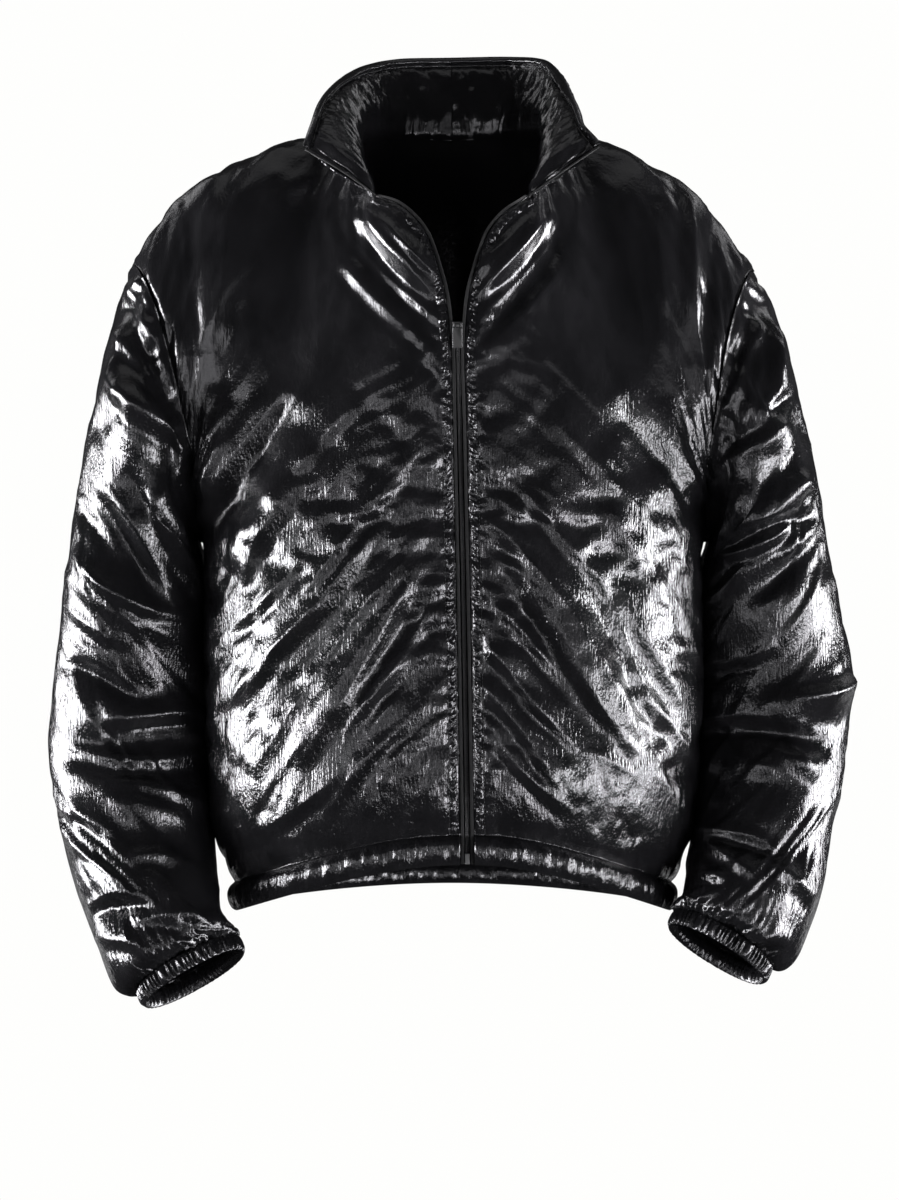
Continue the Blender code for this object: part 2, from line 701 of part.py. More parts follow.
def tube_faces(rings, around, closed):
    """Faces of a tube of rings; an open tube gets a cap at each end."""
    faces = []
    count = rings if closed else rings - 1
    for r in range(count):
        here, there = r * around, ((r + 1) % rings) * around
        for k in range(around):
            n = (k + 1) % around
            faces.append([here + k, here + n, there + n, there + k])
    if not closed:
        faces.append(list(range(around))[::-1])
        faces.append([(rings - 1) * around + k for k in range(around)])
    return faces


def hem_line():
    """The hem seam's middle line from the right front edge round to the left one."""
    quarters = {}
    for side in (RIGHT, LEFT):
        for face in (-1, 1):
            quarters[(side, face)] = body_ring(side, face, 1.0)
    line = quarters[(RIGHT, -1)] + quarters[(RIGHT, 1)][-2::-1]
    return line + quarters[(LEFT, 1)][1:] + quarters[(LEFT, -1)][-2::-1]


def hem_band(group):
    line = hem_line()
    count = len(line)
    points = []
    for k, place in enumerate(line):
        ahead = line[min(k + 1, count - 1)] - line[max(k - 1, 0)]
        out = np.array((-ahead[1], ahead[0], 0.0))
        out = out / np.linalg.norm(out)
        if float(out @ np.array((place[0], place[1], 0.0))) < 0:
            out = -out
        if k in (0, count - 1):
            out = np.array((0.0, -1.0, 0.0))
            place = place + unit(line[k] - line[1 if k == 0 else k - 1]) * -SEAT_GAP
        tuck = HEM_TUCK_DEPTH * math.cos(math.pi * k) * (k % (count - 1) > 0)
        for across, down in HEM_PROFILE:
            swell = tuck if across > HEM_TUCKED_FROM else 0.0
            points.append(place + out * (across + swell) - np.array((0.0, 0.0, down)))
    faces = tube_faces(count, len(HEM_PROFILE), closed=False)
    return cloth_object("hem_band", points, faces, group)


def cuff(name, side, skin, group):
    """Elastic band under the sleeve's last ring, gathered on its outer face."""
    last = SLEEVE_RINGS[side][-1]
    outer = np.array((side * last[1], last[5], last[2]))
    inner = np.array((side * last[3], last[5], last[4]))
    forward = np.array((0.0, -1.0, last[7]))
    axis = np.cross(outer - inner, forward)
    axis = axis / np.linalg.norm(axis)
    if axis[2] > 0:
        axis = -axis
    middle = (outer + inner) / 2
    ring = skin.cuff_rings[side]
    around = 2 * CUFF_GATHERS
    per_side = around // len(ring)
    points = []
    for k in range(around):
        at, part = divmod(k, per_side)
        after = ring[(at + 1) % len(ring)]
        place = ring[at] + (after - ring[at]) * part / per_side
        out = place - middle
        out = out / np.linalg.norm(out)
        wave = CUFF_GATHER_DEPTH * (1 if k % 2 else -1)
        for n, (across, down) in enumerate(CUFF_PROFILE):
            swell = wave if 0 < n <= CUFF_GATHERED_POINTS else 0.0
            points.append(place + out * (across + swell) + axis * down)
    faces = tube_faces(around, len(CUFF_PROFILE), closed=True)
    return cloth_object(name, points, faces, group, roughness=CUFF_ROUGHNESS)


# ---- collar


def collar_stations(skin, facing):
    """Half the neckline, front end to middle back: side's points, normals, shares."""
    halves = {}
    for side in (RIGHT, LEFT):
        places = [top_point(side, -1, i) for i in range(OPEN_COLUMNS, NECK_COLUMNS + 1)]
        places += [top_point(side, 1, i) for i in range(NECK_COLUMNS - 1, -1, -1)]
        ids = [skin.known[tuple(round(float(v), 6) for v in p)] for p in places]
        bases = [skin.points[v] for v in ids]
        normals = [facing[v] for v in ids]
        steps = [np.linalg.norm(b - a) for a, b in zip(bases, bases[1:])]
        shares = np.concatenate(([0.0], np.cumsum(steps))) / sum(steps)
        runs = np.gradient(np.array(bases), axis=0)
        runs[-1] = (side, 0.0, 0.0)
        clear = SEAT_GAP + SEAM_INSET
        for k, base in enumerate(bases):
            away = unit(np.cross(normals[k], runs[k]))
            away = away if float(away @ (NECK_MIDDLE - base)) > 0 else -away
            bases[k] = base + away * clear
        halves[side] = (bases, normals, shares)
    return halves


def collar_wave(side, share, up):
    depth = 0.0
    for fold_side, at, height, wide, tall, deep in COLLAR_FOLDS:
        if fold_side == side:
            off = ((share - at) / wide) ** 2 + ((up - height) / tall) ** 2
            depth += deep * math.exp(-off)
    return depth


def collar_middle(side, base, normal, share, up):
    """A point of the collar's middle surface: it stands up, then rolls outward."""
    x, y, z, bulge = (between(share, COLLAR_TOP[side], i) for i in (1, 2, 3, 4))
    top = np.array((side * x, y, z))
    rise = top - base
    tall = np.linalg.norm(rise)
    leave = unit(normal * COLLAR_STAND + rise / tall) * tall * COLLAR_LEAVE_PULL
    here = blend(base, leave, top, rise * COLLAR_ARRIVE_PULL, up)
    turn = math.pi * (1 - share)
    out = np.array((side * math.sin(turn), math.cos(turn), 0.0))
    out = unit(out - rise * float(out @ rise) / tall**2)
    return here + out * bulge * math.sin(math.pi * up) * up


def collar_grid(skin, facing):
    """The collar's middle surface, right front end to left, with its normals and wall."""
    halves = collar_stations(skin, facing)
    count = len(halves[RIGHT][0])
    stations = [(RIGHT, k) for k in range(count)]
    stations += [(LEFT, k) for k in range(count - 2, -1, -1)]
    lines, walls = [], []
    for side, k in stations:
        base, normal, share = (halves[side][n][k] for n in range(3))
        lines.append([collar_middle(side, base, normal, share, row[0]) for row in COLLAR_ROWS])
        pinch = COLLAR_END_PINCH if k == 0 else 1.0
        moves = [collar_wave(side, share, row[0]) for row in COLLAR_ROWS]
        walls.append([(row[1] * pinch + m, row[2] * pinch - m) for row, m in zip(COLLAR_ROWS, moves)])
    grid, walls = np.array(lines), np.array(walls)
    out = np.cross(np.gradient(grid, axis=1), np.gradient(grid, axis=0))
    out = out / np.linalg.norm(out, axis=2)[:, :, None]
    if out[count - 1, 4, 1] < 0:
        out = -out
    for n, (side, k) in enumerate(stations):
        out[n, 0] = halves[side][1][k]
    near = np.array([k for k, p in enumerate(skin.points) if p[2] > COLLAR_SKIN_FROM])
    points = np.array(skin.points)[near]
    for n in range(len(stations)):
        for row in range(COLLAR_CLEAR_FROM, len(COLLAR_ROWS)):
            outer = grid[n, row] + out[n, row] * walls[n, row, 0]
            v = nearest(points, outer)
            height = float((outer - points[v]) @ facing[near[v]])
            grid[n, row] += facing[near[v]] * max(0.0, COLLAR_CLEAR - height)
    return grid, out, walls


def collar(skin, facing, group):
    """The stand collar, thick in its middle, thin at its seam and its stitched line."""
    grid, out, walls = collar_grid(skin, facing)
    points = []
    for line, normals, wall in zip(grid, out, walls):
        outer = [p + n * w[0] for p, n, w in zip(line, normals, wall)]
        inner = [p - n * w[1] for p, n, w in zip(line, normals, wall)]
        points += outer + inner[::-1]
    faces = tube_faces(len(grid), 2 * len(COLLAR_ROWS), closed=False)
    return cloth_object("collar", points, faces, group)


# ---- zip


def edge_strip(name, places, outs, sideways, group, colour, width, thick):
    """A strip through places: sideways across it, outs along its face's normal."""
    points = []
    for place, out, side_on in zip(places, outs, sideways):
        for a, b in ((0, 0.5), (1, 0.5), (1, -0.5), (0, -0.5)):
            points.append(place + side_on * width * a + out * thick * b)
    faces = tube_faces(len(places), 4, closed=False)
    return cloth_object(name, points, faces, group, colour, TRIM_ROUGHNESS)


def front_edge_places(side, skin, facing):
    """The front's edge from the hem seam up to the neckline, with its frame."""
    rings = [body_ring(side, -1, row / BODY_ROWS) for row in range(BODY_ROWS, 0, -1)]
    edge = [ring[0] for ring in rings]
    edge.append(body_ring(side, -1, 0.0)[0])
    line = edge_line(side, FRONT_EDGE)
    edge += [along(line, row / ARCH_ROWS) for row in range(1, ARCH_ROWS)]
    edge += [top_point(side, -1, i) for i in range(OPEN_COLUMNS + 1)]
    places, outs = [], []
    for place in edge:
        v = nearest(skin.points, place)
        places.append(skin.points[v])
        outs.append(facing[v])
    return places, outs


def zip_tape(name, side, skin, facing, group):
    """Tape along the front's edge and up the end of the collar."""
    places, outs = front_edge_places(side, skin, facing)
    foot = places[0] - np.array((0.0, 0.0, HEM_PROFILE[4][1] - TAPE_FOOT_SHORT))
    places = [foot] + places
    outs = [outs[0]] + outs
    line = np.array(places)
    run = np.gradient(line, axis=0)
    sideways = [unit(np.cross(outs[k], d)) * side for k, d in enumerate(run)]
    grid, faces_out, _ = collar_grid(skin, facing)
    end, beside = (0, 1) if side == RIGHT else (-1, -2)
    body_count = len(places) - 1
    places[-1] = grid[end, 0]
    sideways[-1] = unit(sideways[-1] + unit(grid[end, 1] - grid[beside, 1]))
    for row in range(1, len(COLLAR_ROWS) - 1):
        places.append(grid[end, row])
        sideways.append(unit(grid[end, row] - grid[beside, row]))
        outs.append(faces_out[end, row])
    gaps = [TAPE_GAP if k < body_count else TAPE_COLLAR_GAP for k in range(len(places))]
    start = [p + s * g for p, s, g in zip(places, sideways, gaps)]
    return edge_strip(
        name, start, outs, sideways, group, TRIM_BLACK, TAPE_WIDTH, TAPE_THICK
    )


def zip_chain(skin, facing, group):
    """The closed chain, midway between the two front edges."""
    right, outs_right = front_edge_places(RIGHT, skin, facing)
    left, outs_left = front_edge_places(LEFT, skin, facing)
    places, outs, sideways = [], [], []
    for a, b, n, m in zip(right, left, outs_right, outs_left):
        middle = (a + b) / 2
        if middle[2] > ZIP_TOP_Z - SLIDER_SIZE[2]:
            break
        across = unit(b - a)
        places.append(middle - across * CHAIN_HALF)
        outs.append(unit(n + m))
        sideways.append(across)
    start = places[0] - np.array((0.0, 0.0, ZIP_BOX_TOP))
    top_z = ZIP_TOP_Z - SLIDER_SIZE[2] / 2
    rest = (top_z - places[-1][2]) / (places[-1][2] - places[-2][2])
    end = places[-1] + (places[-1] - places[-2]) * rest
    places = [start] + places + [end]
    outs = [outs[0]] + outs + [outs[-1]]
    sideways = [sideways[0]] + sideways + [sideways[-1]]
    return edge_strip(
        "zip_chain", places, outs, sideways, group, METAL_BLACK, 2 * CHAIN_HALF, CHAIN_THICK
    )


def block(name, size, place, group, colour, bevel=BOX_BEVEL):
    mesh = bpy.data.meshes.new(name)
    work = bmesh.new()
    bmesh.ops.create_cube(work, size=1.0)
    bmesh.ops.scale(work, vec=size, verts=work.verts)
    work.to_mesh(mesh)
    work.free()
    thing = new_object(name, mesh, group, colour, METAL_ROUGHNESS, METAL_SHARE)
    thing.location = place
    rounded = thing.modifiers.new("rounded", "BEVEL")
    rounded.width = bevel
    rounded.segments = 1
    return thing


def rod(name, radius, length, group, segments=16):
    """A cylinder along X through the origin."""
    mesh = bpy.data.meshes.new(name)
    work = bmesh.new()
    bmesh.ops.create_cone(
        work,
        cap_ends=True,
        segments=segments,
        radius1=radius,
        radius2=radius,
        depth=length,
    )
    turn = np.array(((0, 0, 1), (0, 1, 0), (-1, 0, 0)), float)
    for vert in work.verts:
        vert.co = turn @ np.array(vert.co)
    work.to_mesh(mesh)
    work.free()
    thing = bpy.data.objects.new(name, mesh)
    group.objects.link(thing)
    return thing


def combine(target, other, operation, guides):
    """Boolean the other object into the target and keep it only as a guide."""
    step = target.modifiers.new(operation.lower(), "BOOLEAN")
    step.operation = operation
    step.solver = "EXACT"
    step.object = other
    for group in list(other.users_collection):
        group.objects.unlink(other)
    guides.objects.link(other)
    other.hide_render = True
    other.display_type = "WIRE"


def child_block(name, size, place, parent, group):
    thing = block(name, size, place, group, METAL_BLACK, bevel=SLIDER_BEVEL)
    thing.parent = parent
    return thing


def slider_frame(skin, facing, group):
    """An empty on the pin's axis, tilted with the chest."""
    right, outs = front_edge_places(RIGHT, skin, facing)
    heights, depths = [p[2] for p in right], [p[1] for p in right]
    pin_z = ZIP_TOP_Z - PIN_DROP
    reach = SLOPE_REACH
    low, high = (float(np.interp(pin_z + d, heights, depths)) for d in (-reach, reach))
    slope = math.atan2(high - low, 2 * reach)
    stand = CHAIN_THICK / 2 + 3 * SEAT_GAP + SLIDER_SIZE[1] + PIN_STANDOFF
    frame = bpy.data.objects.new("slider_pin_axis", None)
    frame.location = (zip_x(ZIP_TOP_Z), (low + high) / 2 - stand, pin_z)
    frame.rotation_euler = (-slope, 0.0, 0.0)
    group.objects.link(frame)
    return frame


def zip_slider(frame, group, guides):
    """Slider body with two ears and the pin that the tab swings on."""
    width, depth, height = SLIDER_SIZE
    face = PIN_STANDOFF
    body = child_block(
        "zip_slider", SLIDER_SIZE, (0.0, face + depth / 2, PIN_DROP - height / 2), frame, group
    )
    ear_x = EAR_GAP / 2 + EAR_WIDTH / 2
    ear_deep = PIN_STANDOFF + EAR_PAST_PIN + EAR_SUNK
    for side in (RIGHT, LEFT):
        ear = child_block(
            f"ear_{side}",
            (EAR_WIDTH, ear_deep, EAR_HEIGHT),
            (side * ear_x, face + EAR_SUNK - ear_deep / 2, 0.0),
            frame,
            guides,
        )
        combine(body, ear, "UNION", guides)
    pin = rod("pin", PIN_RADIUS, EAR_GAP + EAR_WIDTH, guides)
    pin.parent = frame
    combine(body, pin, "UNION", guides)
    return body


def zip_pull(frame, group, guides):
    """Plain rectangular tab with a round eye on the slider's pin."""
    plate_length = PULL_LENGTH - PULL_NECK
    tab = child_block(
        "zip_pull",
        (PULL_WIDTH, PULL_THICK, plate_length),
        (0.0, 0.0, -(PULL_NECK + plate_length / 2)),
        frame,
        group,
    )
    neck = child_block(
        "tab_neck",
        (EYE_WIDTH - 2 * NECK_INSET, PULL_THICK, PULL_NECK),
        (0.0, 0.0, -(EYE_HOLE_RADIUS + PULL_NECK) / 2 - NECK_DROP),
        frame,
        guides,
    )
    combine(tab, neck, "UNION", guides)
    eye = rod("tab_eye", EYE_RADIUS, EYE_WIDTH, guides)
    eye.parent = frame
    combine(tab, eye, "UNION", guides)
    hole = rod("tab_hole", EYE_HOLE_RADIUS, 2 * EYE_WIDTH, guides)
    hole.parent = frame
    combine(tab, hole, "DIFFERENCE", guides)
    return tab


def zip_box(skin, facing, group):
    """The stop at the foot of the zip, inside the hem band's gap."""
    right, _ = front_edge_places(RIGHT, skin, facing)
    left, _ = front_edge_places(LEFT, skin, facing)
    middle = (right[0] + left[0]) / 2
    place = middle - np.array((0.0, 0.0, ZIP_BOX_TOP + 3 * SEAT_GAP + ZIP_BOX_SIZE[2] / 2))
    return block("zip_box", ZIP_BOX_SIZE, tuple(place), group, METAL_BLACK)


def main():
    for thing in list(bpy.data.objects):
        bpy.data.objects.remove(thing, do_unlink=True)
    jacket = bpy.data.collections.new("puffer_jacket")
    guides = bpy.data.collections.new("guides")
    bpy.context.scene.collection.children.link(jacket)
    bpy.context.scene.collection.children.link(guides)

    skin = make_skin()
    facing = skin.normals()
    for name in ("front_right", "front_left", "back", "sleeve_right", "sleeve_left"):
        panel(name, skin, facing, jacket)
    collar(skin, facing, jacket)
    hem_band(jacket)
    cuff("cuff_right", RIGHT, skin, jacket)
    cuff("cuff_left", LEFT, skin, jacket)
    zip_tape("zip_tape_right", RIGHT, skin, facing, jacket)
    zip_tape("zip_tape_left", LEFT, skin, facing, jacket)
    zip_chain(skin, facing, jacket)
    zip_box(skin, facing, jacket)
    frame = slider_frame(skin, facing, jacket)
    zip_slider(frame, jacket, guides)
    zip_pull(frame, jacket, guides)


main()
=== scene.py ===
# %% [markdown]
# # A worn, glossy black padded jacket
#
# The jacket hangs as a wearer fills it: open stand collar, dropped sleeves, a
# stuffed hem and gathered cuffs. A real one is cut flat, sewn and turned, and the
# filling then pushes every panel out between its seams. This lesson goes the same
# way: a skin for each panel, cloth that buckles on it, creases from wear, a padded
# wall, and then the zip, the stitching, the light and the camera.
#
# The hard frame is loaded first, and every piece is fitted to it. Lengths are in
# metres unless mm is said. x runs to the wearer's left, y to the back and z up.

import math

import bpy
import numpy as np
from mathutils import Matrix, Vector
from mathutils.bvhtree import BVHTree
from mathutils.kdtree import KDTree


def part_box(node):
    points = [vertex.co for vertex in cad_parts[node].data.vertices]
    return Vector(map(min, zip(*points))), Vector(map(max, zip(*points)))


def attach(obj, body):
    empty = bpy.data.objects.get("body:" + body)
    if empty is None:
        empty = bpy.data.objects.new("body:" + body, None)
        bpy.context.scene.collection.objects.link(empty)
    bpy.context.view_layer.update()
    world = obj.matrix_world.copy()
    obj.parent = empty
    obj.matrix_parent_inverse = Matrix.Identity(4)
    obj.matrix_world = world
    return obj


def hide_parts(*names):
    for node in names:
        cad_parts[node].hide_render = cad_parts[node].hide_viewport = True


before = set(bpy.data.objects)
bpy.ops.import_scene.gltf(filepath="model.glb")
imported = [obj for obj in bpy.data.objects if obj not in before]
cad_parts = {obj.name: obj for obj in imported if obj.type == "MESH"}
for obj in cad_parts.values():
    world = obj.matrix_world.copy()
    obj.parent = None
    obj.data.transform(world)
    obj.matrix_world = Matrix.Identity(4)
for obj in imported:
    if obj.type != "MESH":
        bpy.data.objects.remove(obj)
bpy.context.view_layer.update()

# %% [markdown]
# ## Smooth lines through tables
#
# The cut is given by short tables, as a pattern maker writes down a few measures
# and draws the curve between them with a flexible rule. Blender's curves could do
# that, but a Hermite curve in numpy is quicker and passes through every measure.


# %% Smooth lines through tables
def figures(text, first=99, last=99):
    """Rows of numbers. Columns from first up to last are changed from mm to metres."""
    rows = [[float(word) for word in line.split()] for line in text.strip().splitlines()]
    return [(*r[:first], *(v / 1000 for v in r[first:last]), *r[last:]) for r in rows]


def column(table, index):
    """One column of a table."""
    return np.array([row[index] for row in table], float)


def hermite(start, leave, end, arrive, u):
    """A curve from start to end that leaves and arrives with the given pulls."""
    rest = 1 - u
    return (
        start * (1 + 2 * u) * rest**2
        + leave * u * rest**2
        + end * u**2 * (3 - 2 * u)
        - arrive * u**2 * rest
    )


def read(share, shares, values):
    """Values along a line, at many shares of it at once."""
    share = np.asarray(share, float)
    slopes = np.gradient(values, shares, axis=0)
    at = np.clip(np.searchsorted(shares, share) - 1, 0, len(shares) - 2)
    width = shares[at + 1] - shares[at]
    u = (share - shares[at]) / width
    spread = (..., *(None,) * (values.ndim - 1))
    width, u = width[spread], u[spread]
    return hermite(values[at], slopes[at] * width, values[at + 1], slopes[at + 1] * width, u)


def between(share, table, index):
    """One column of a table, read between its rows."""
    return read(share, column(table, 0), column(table, index))


def along(points, share):
    """Points of a smooth line through points, at shares of its length."""
    points = np.array(points, float)
    steps = np.linalg.norm(np.diff(points, axis=0), axis=1)
    places = np.concatenate(([0.0], np.cumsum(steps))) / steps.sum()
    return read(share, places, points)


def unit(vectors):
    """The same directions, one metre long."""
    vectors = np.asarray(vectors, float)
    return vectors / np.maximum(np.linalg.norm(vectors, axis=-1, keepdims=True), 1e-12)


def eased(u):
    """From 0 to 1, flat at both ends."""
    return u * u * (3 - 2 * u)


def smooth(low, high, value):
    """From 0 at low to 1 at high, without a corner at either end."""
    return eased(np.clip((value - low) / (high - low), 0, 1))


print("half way through 0 to 1", smooth(0, 1, np.array(0.5)))

# %% [markdown]
# ## Rings round the body
#
# Below the armholes the body is a stack of rings, squarer than an ellipse, since
# padding rounds off a chest. A ring could be a Blender curve, but then its points
# couldn't be kept in columns that run from hem to shoulder. Here each quarter ring
# is read at even shares of its length, and the front bends to the zip's line.

# %% Rings round the body
RIGHT, LEFT = -1, 1
SIDES = {RIGHT: "right", LEFT: "left"}
FRONT, BACK = -1, 1
COLUMNS = 16  # columns of the cut in a quarter of the body
BODY_ROWS = 12  # rows from the hem to the armhole
FINER = 10  # every division of the cut becomes this many
ZIP_HALF = 0.0062  # half the gap that the zip fills
# z and x of the zip, mm
ZIP_LINE = figures("""
-660 14
-400 9.5
-170 4.5
""", 0)
# share, then in mm: z at zip, side and back, half right and left, front, back; square
BODY_RINGS = figures("""
0 -352 -370 -360 226.5 228 166 150 2.5
0.12 -386 -408 -397 222.5 225 169 151 2.5
0.35 -450 -480 -469 221.5 224 171 151 2.5
0.6 -519 -558 -547 219 221.5 171 149 2.5
0.85 -589 -637 -625 213 215 166 147 2.4
1 -631 -684 -672 200 202 151 138 2.3
""", 1, 8)


def zip_x(z):
    """Where the zip's middle is at a height."""
    return np.interp(z, column(ZIP_LINE, 0), column(ZIP_LINE, 1))


def quarter_ring(half_width, depth, square, parts):
    """A quarter of a squared ellipse, at shares of its length."""
    turns = np.linspace(0, math.pi / 2, 400)
    x = half_width * np.sin(turns) ** (2 / square)
    y = depth * np.cos(turns) ** (2 / square)
    lengths = np.concatenate(([0.0], np.cumsum(np.hypot(np.diff(x), np.diff(y)))))
    wanted = parts * lengths[-1]
    return np.interp(wanted, lengths, x), np.interp(wanted, lengths, y)


def body_ring(side, face, share, parts):
    """A quarter of the body's ring at a share of the way down to the hem."""
    values = [float(between(share, BODY_RINGS, i)) for i in range(1, 9)]
    z_front, z_side, z_back, right, left, front, back, square = values
    half = right if side == RIGHT else left
    z_middle, depth = (z_front, front) if face == FRONT else (z_back, back)
    x, y = quarter_ring(half, depth, square, parts)
    z = z_middle + (z_side - z_middle) * parts**2 * (3 - 2 * parts)
    x = side * x
    if face == FRONT:
        x = x + (1 - parts) ** 2 * (zip_x(z) + side * ZIP_HALF)
    return np.stack((x, face * y, z), axis=-1)


print("hem's half widths", BODY_RINGS[-1][4:6])

# %% [markdown]
# ## Neckline and shoulder
#
# A front's top edge has three parts: the open edge above the slider, the neckline
# and the shoulder line down to the armhole. Each could be its own piece of cloth,
# but a real front is cut as one, so one row of points runs through all three.

# %% Neckline and shoulder
OPEN_COLUMNS = 3  # columns that end on the open edge
NECK_COLUMNS = 8  # columns that end on the open edge or the neckline
SHOULDER_FORWARD = -0.002  # y of the shoulder line at the neck
# z, distance from the zip's line and y, mm
FRONT_EDGE = figures("""
-352 0 -166
-270 0 -168
-190 0.6 -160.5
-150 5 -153
-120 12.5 -147
""", 0)
OPEN_EDGE = figures("""
-120 12.5 -147
-96 22.5 -140
-80 35 -134
-70 48 -128
-63 61 -120
""", 0)
# share, then x, y and z in metres
NECK_FRONT = figures("""
0 0.0672 -0.12 -0.063
0.35 0.08 -0.086 -0.041
0.7 0.0885 -0.04 -0.012
1 0.09 -0.002 0.008
""")
NECK_BACK = figures("""
0 0 0.07 0.016
0.5 0.052 0.058 0.016
1 0.09 -0.002 0.008
""")
# x and z of the shoulder line, mm
RIDGE = {}
RIDGE[RIGHT] = figures("""
90 8
137.6 3
182 -12.5
208 -24
234 -37
252 -50
272.5 -75
297 -113
""", 0)
RIDGE[LEFT] = figures("""
90 8
138.6 -0.5
184 -22.5
211 -38
224 -49
243 -67.5
262 -93
281 -118
""", 0)


def neck_points(side, face, share):
    """Points of the neckline."""
    table = NECK_FRONT if face == FRONT else NECK_BACK
    x, y, z = (between(share, table, i) for i in (1, 2, 3))
    return np.stack((side * x, y, z), axis=-1)


def edge_line(side, table):
    """Points of a front's edge beside the zip."""
    return [np.array((zip_x(z) + side * (ZIP_HALF + out), y, z)) for z, out, y in table]


def top_points(side, face, parts):
    """Where the columns end: the zip's open part, the neckline, the shoulder."""
    index = parts * COLUMNS
    first = OPEN_COLUMNS if face == FRONT else 0
    neck = neck_points(side, face, np.clip((index - first) / (NECK_COLUMNS - first), 0, 1))
    share = np.clip((index - NECK_COLUMNS) / (COLUMNS - NECK_COLUMNS), 0, 1)
    ridge = along([(x, z) for x, z in RIDGE[side]], share)
    forward = SHOULDER_FORWARD * (1 - share)
    shoulder = np.stack((side * ridge[:, 0], forward, ridge[:, 1]), axis=-1)
    points = np.where((index <= NECK_COLUMNS)[:, None], neck, shoulder)
    if face == FRONT:
        line = edge_line(side, OPEN_EDGE[:-1]) + [neck_points(side, FRONT, np.array(0.0))]
        opening = along(line, np.clip(index / first, 0, 1))
        points = np.where((index < first)[:, None], opening, points)
    return points


for side in (RIGHT, LEFT):
    print("armhole's top", top_points(side, FRONT, np.array([1.0])).round(3))

# %% [markdown]
# ## From the chest to the shoulder
#
# Above the last ring the cloth leaves upward, arches over the chest and arrives at
# the neckline or the shoulder. A surface patch would fill that gap in one go. Here
# every column is its own arch, whose pull at both ends comes from two tables, so
# that the chest can be full and the shoulder flat. A few rounds of evening out
# then take away the mark of the neckline's corners.

# %% Quarters of the body
ARCH_ROWS = 14  # rows from the armhole's foot to the top
SMOOTHING_STEPS = 70
# share to the armhole, up, forward
LEAVE_PULLS = figures("""
0 0.3 0
0.35 0.32 0
0.7 0.34 0.02
0.88 0.22 0.18
1 0.12 0.31
""")
# share to the armhole, over, rising, toward the neck
ARRIVE_PULLS = {}
ARRIVE_PULLS[FRONT] = figures("""
0 0.06 0.16 0
0.19 0.06 0.14 0.05
0.35 0.1 0.08 0.11
0.5 0.18 0.02 0.11
0.65 0.3 0 0.02
0.88 0.36 0 -0.05
1 0.38 0 -0.1
""")
ARRIVE_PULLS[BACK] = figures("""
0 0.2 0.1 0
0.25 0.2 0.08 0.05
0.5 0.24 0.02 0.1
0.65 0.31 0 0.02
0.88 0.36 0 -0.05
1 0.38 0 -0.1
""")


def quarter(side, face):
    """A quarter of the body: columns outward, rows up from the hem."""
    parts = np.linspace(0, 1, COLUMNS * FINER + 1)
    shares = np.linspace(1, 0, BODY_ROWS * FINER + 1)
    lower = np.stack([body_ring(side, face, share, parts) for share in shares], axis=1)
    ring = lower[:, -1]
    up, forward = (between(parts, LEAVE_PULLS, k) for k in (1, 2))
    over, rise, toward = (between(parts, ARRIVE_PULLS[face], k) for k in (1, 2, 3))
    leave = np.stack((0 * up, face * forward, up), axis=-1)
    arrive = np.stack((-side * toward, -face * over, rise), axis=-1)
    u = np.linspace(0, 1, ARCH_ROWS * FINER + 1)[None, :, None]
    end = top_points(side, face, parts)
    upper = hermite(ring[:, None], leave[:, None], end[:, None], arrive[:, None], u)
    if face == FRONT:
        edge = along(edge_line(side, FRONT_EDGE), u[0, :, 0])
        edge[0] = ring[0]
        fade = np.clip(1 - parts * COLUMNS / NECK_COLUMNS, 0, 1) ** 2
        upper = upper + (edge - upper[0])[None] * fade[:, None, None]
    calm = smooth(0.0, 0.08, u) * (1 - smooth(0.80, 0.99, u))
    for _ in range(SMOOTHING_STEPS):
        upper[1:-1] += 0.25 * calm * (upper[2:] - 2 * upper[1:-1] + upper[:-2])
    return np.concatenate((lower, upper[:, 1:]), axis=1)


skins = {"front_right": quarter(RIGHT, FRONT), "front_left": quarter(LEFT, FRONT)}
back_right, back_left = quarter(RIGHT, BACK), quarter(LEFT, BACK)
skins["back"] = np.concatenate((back_right[::-1], back_left[1:]), axis=0)
for name, skin in skins.items():
    print(name, skin.shape, skin.min(axis=(0, 1)).round(3), skin.max(axis=(0, 1)).round(3))

# %% [markdown]
# ## Sleeves
#
# A sleeve starts at the seam of the dropped armhole and hangs bent a little forward.
# It could be an armature's bent tube, but the real sleeve gets wider, flatter and
# narrower again on its way, so it is lofted through sections. Each section is
# set by its outer and inner point and half its depth.

# %% Sleeves
SLEEVE_ROWS = 17  # rows of the cut above the gathered end
SLEEVE_ENDS = (0.90, 0.945, 0.98, 1.0)  # shares of the length at the gathered end's rows
SLEEVE_SQUARE = 2.2  # 2 would be an ellipse
SPRING_SHARE = 0.05  # where the sleeve first springs out from the armhole's foot
SPRING_OUT = SPRING_UP = 0.011
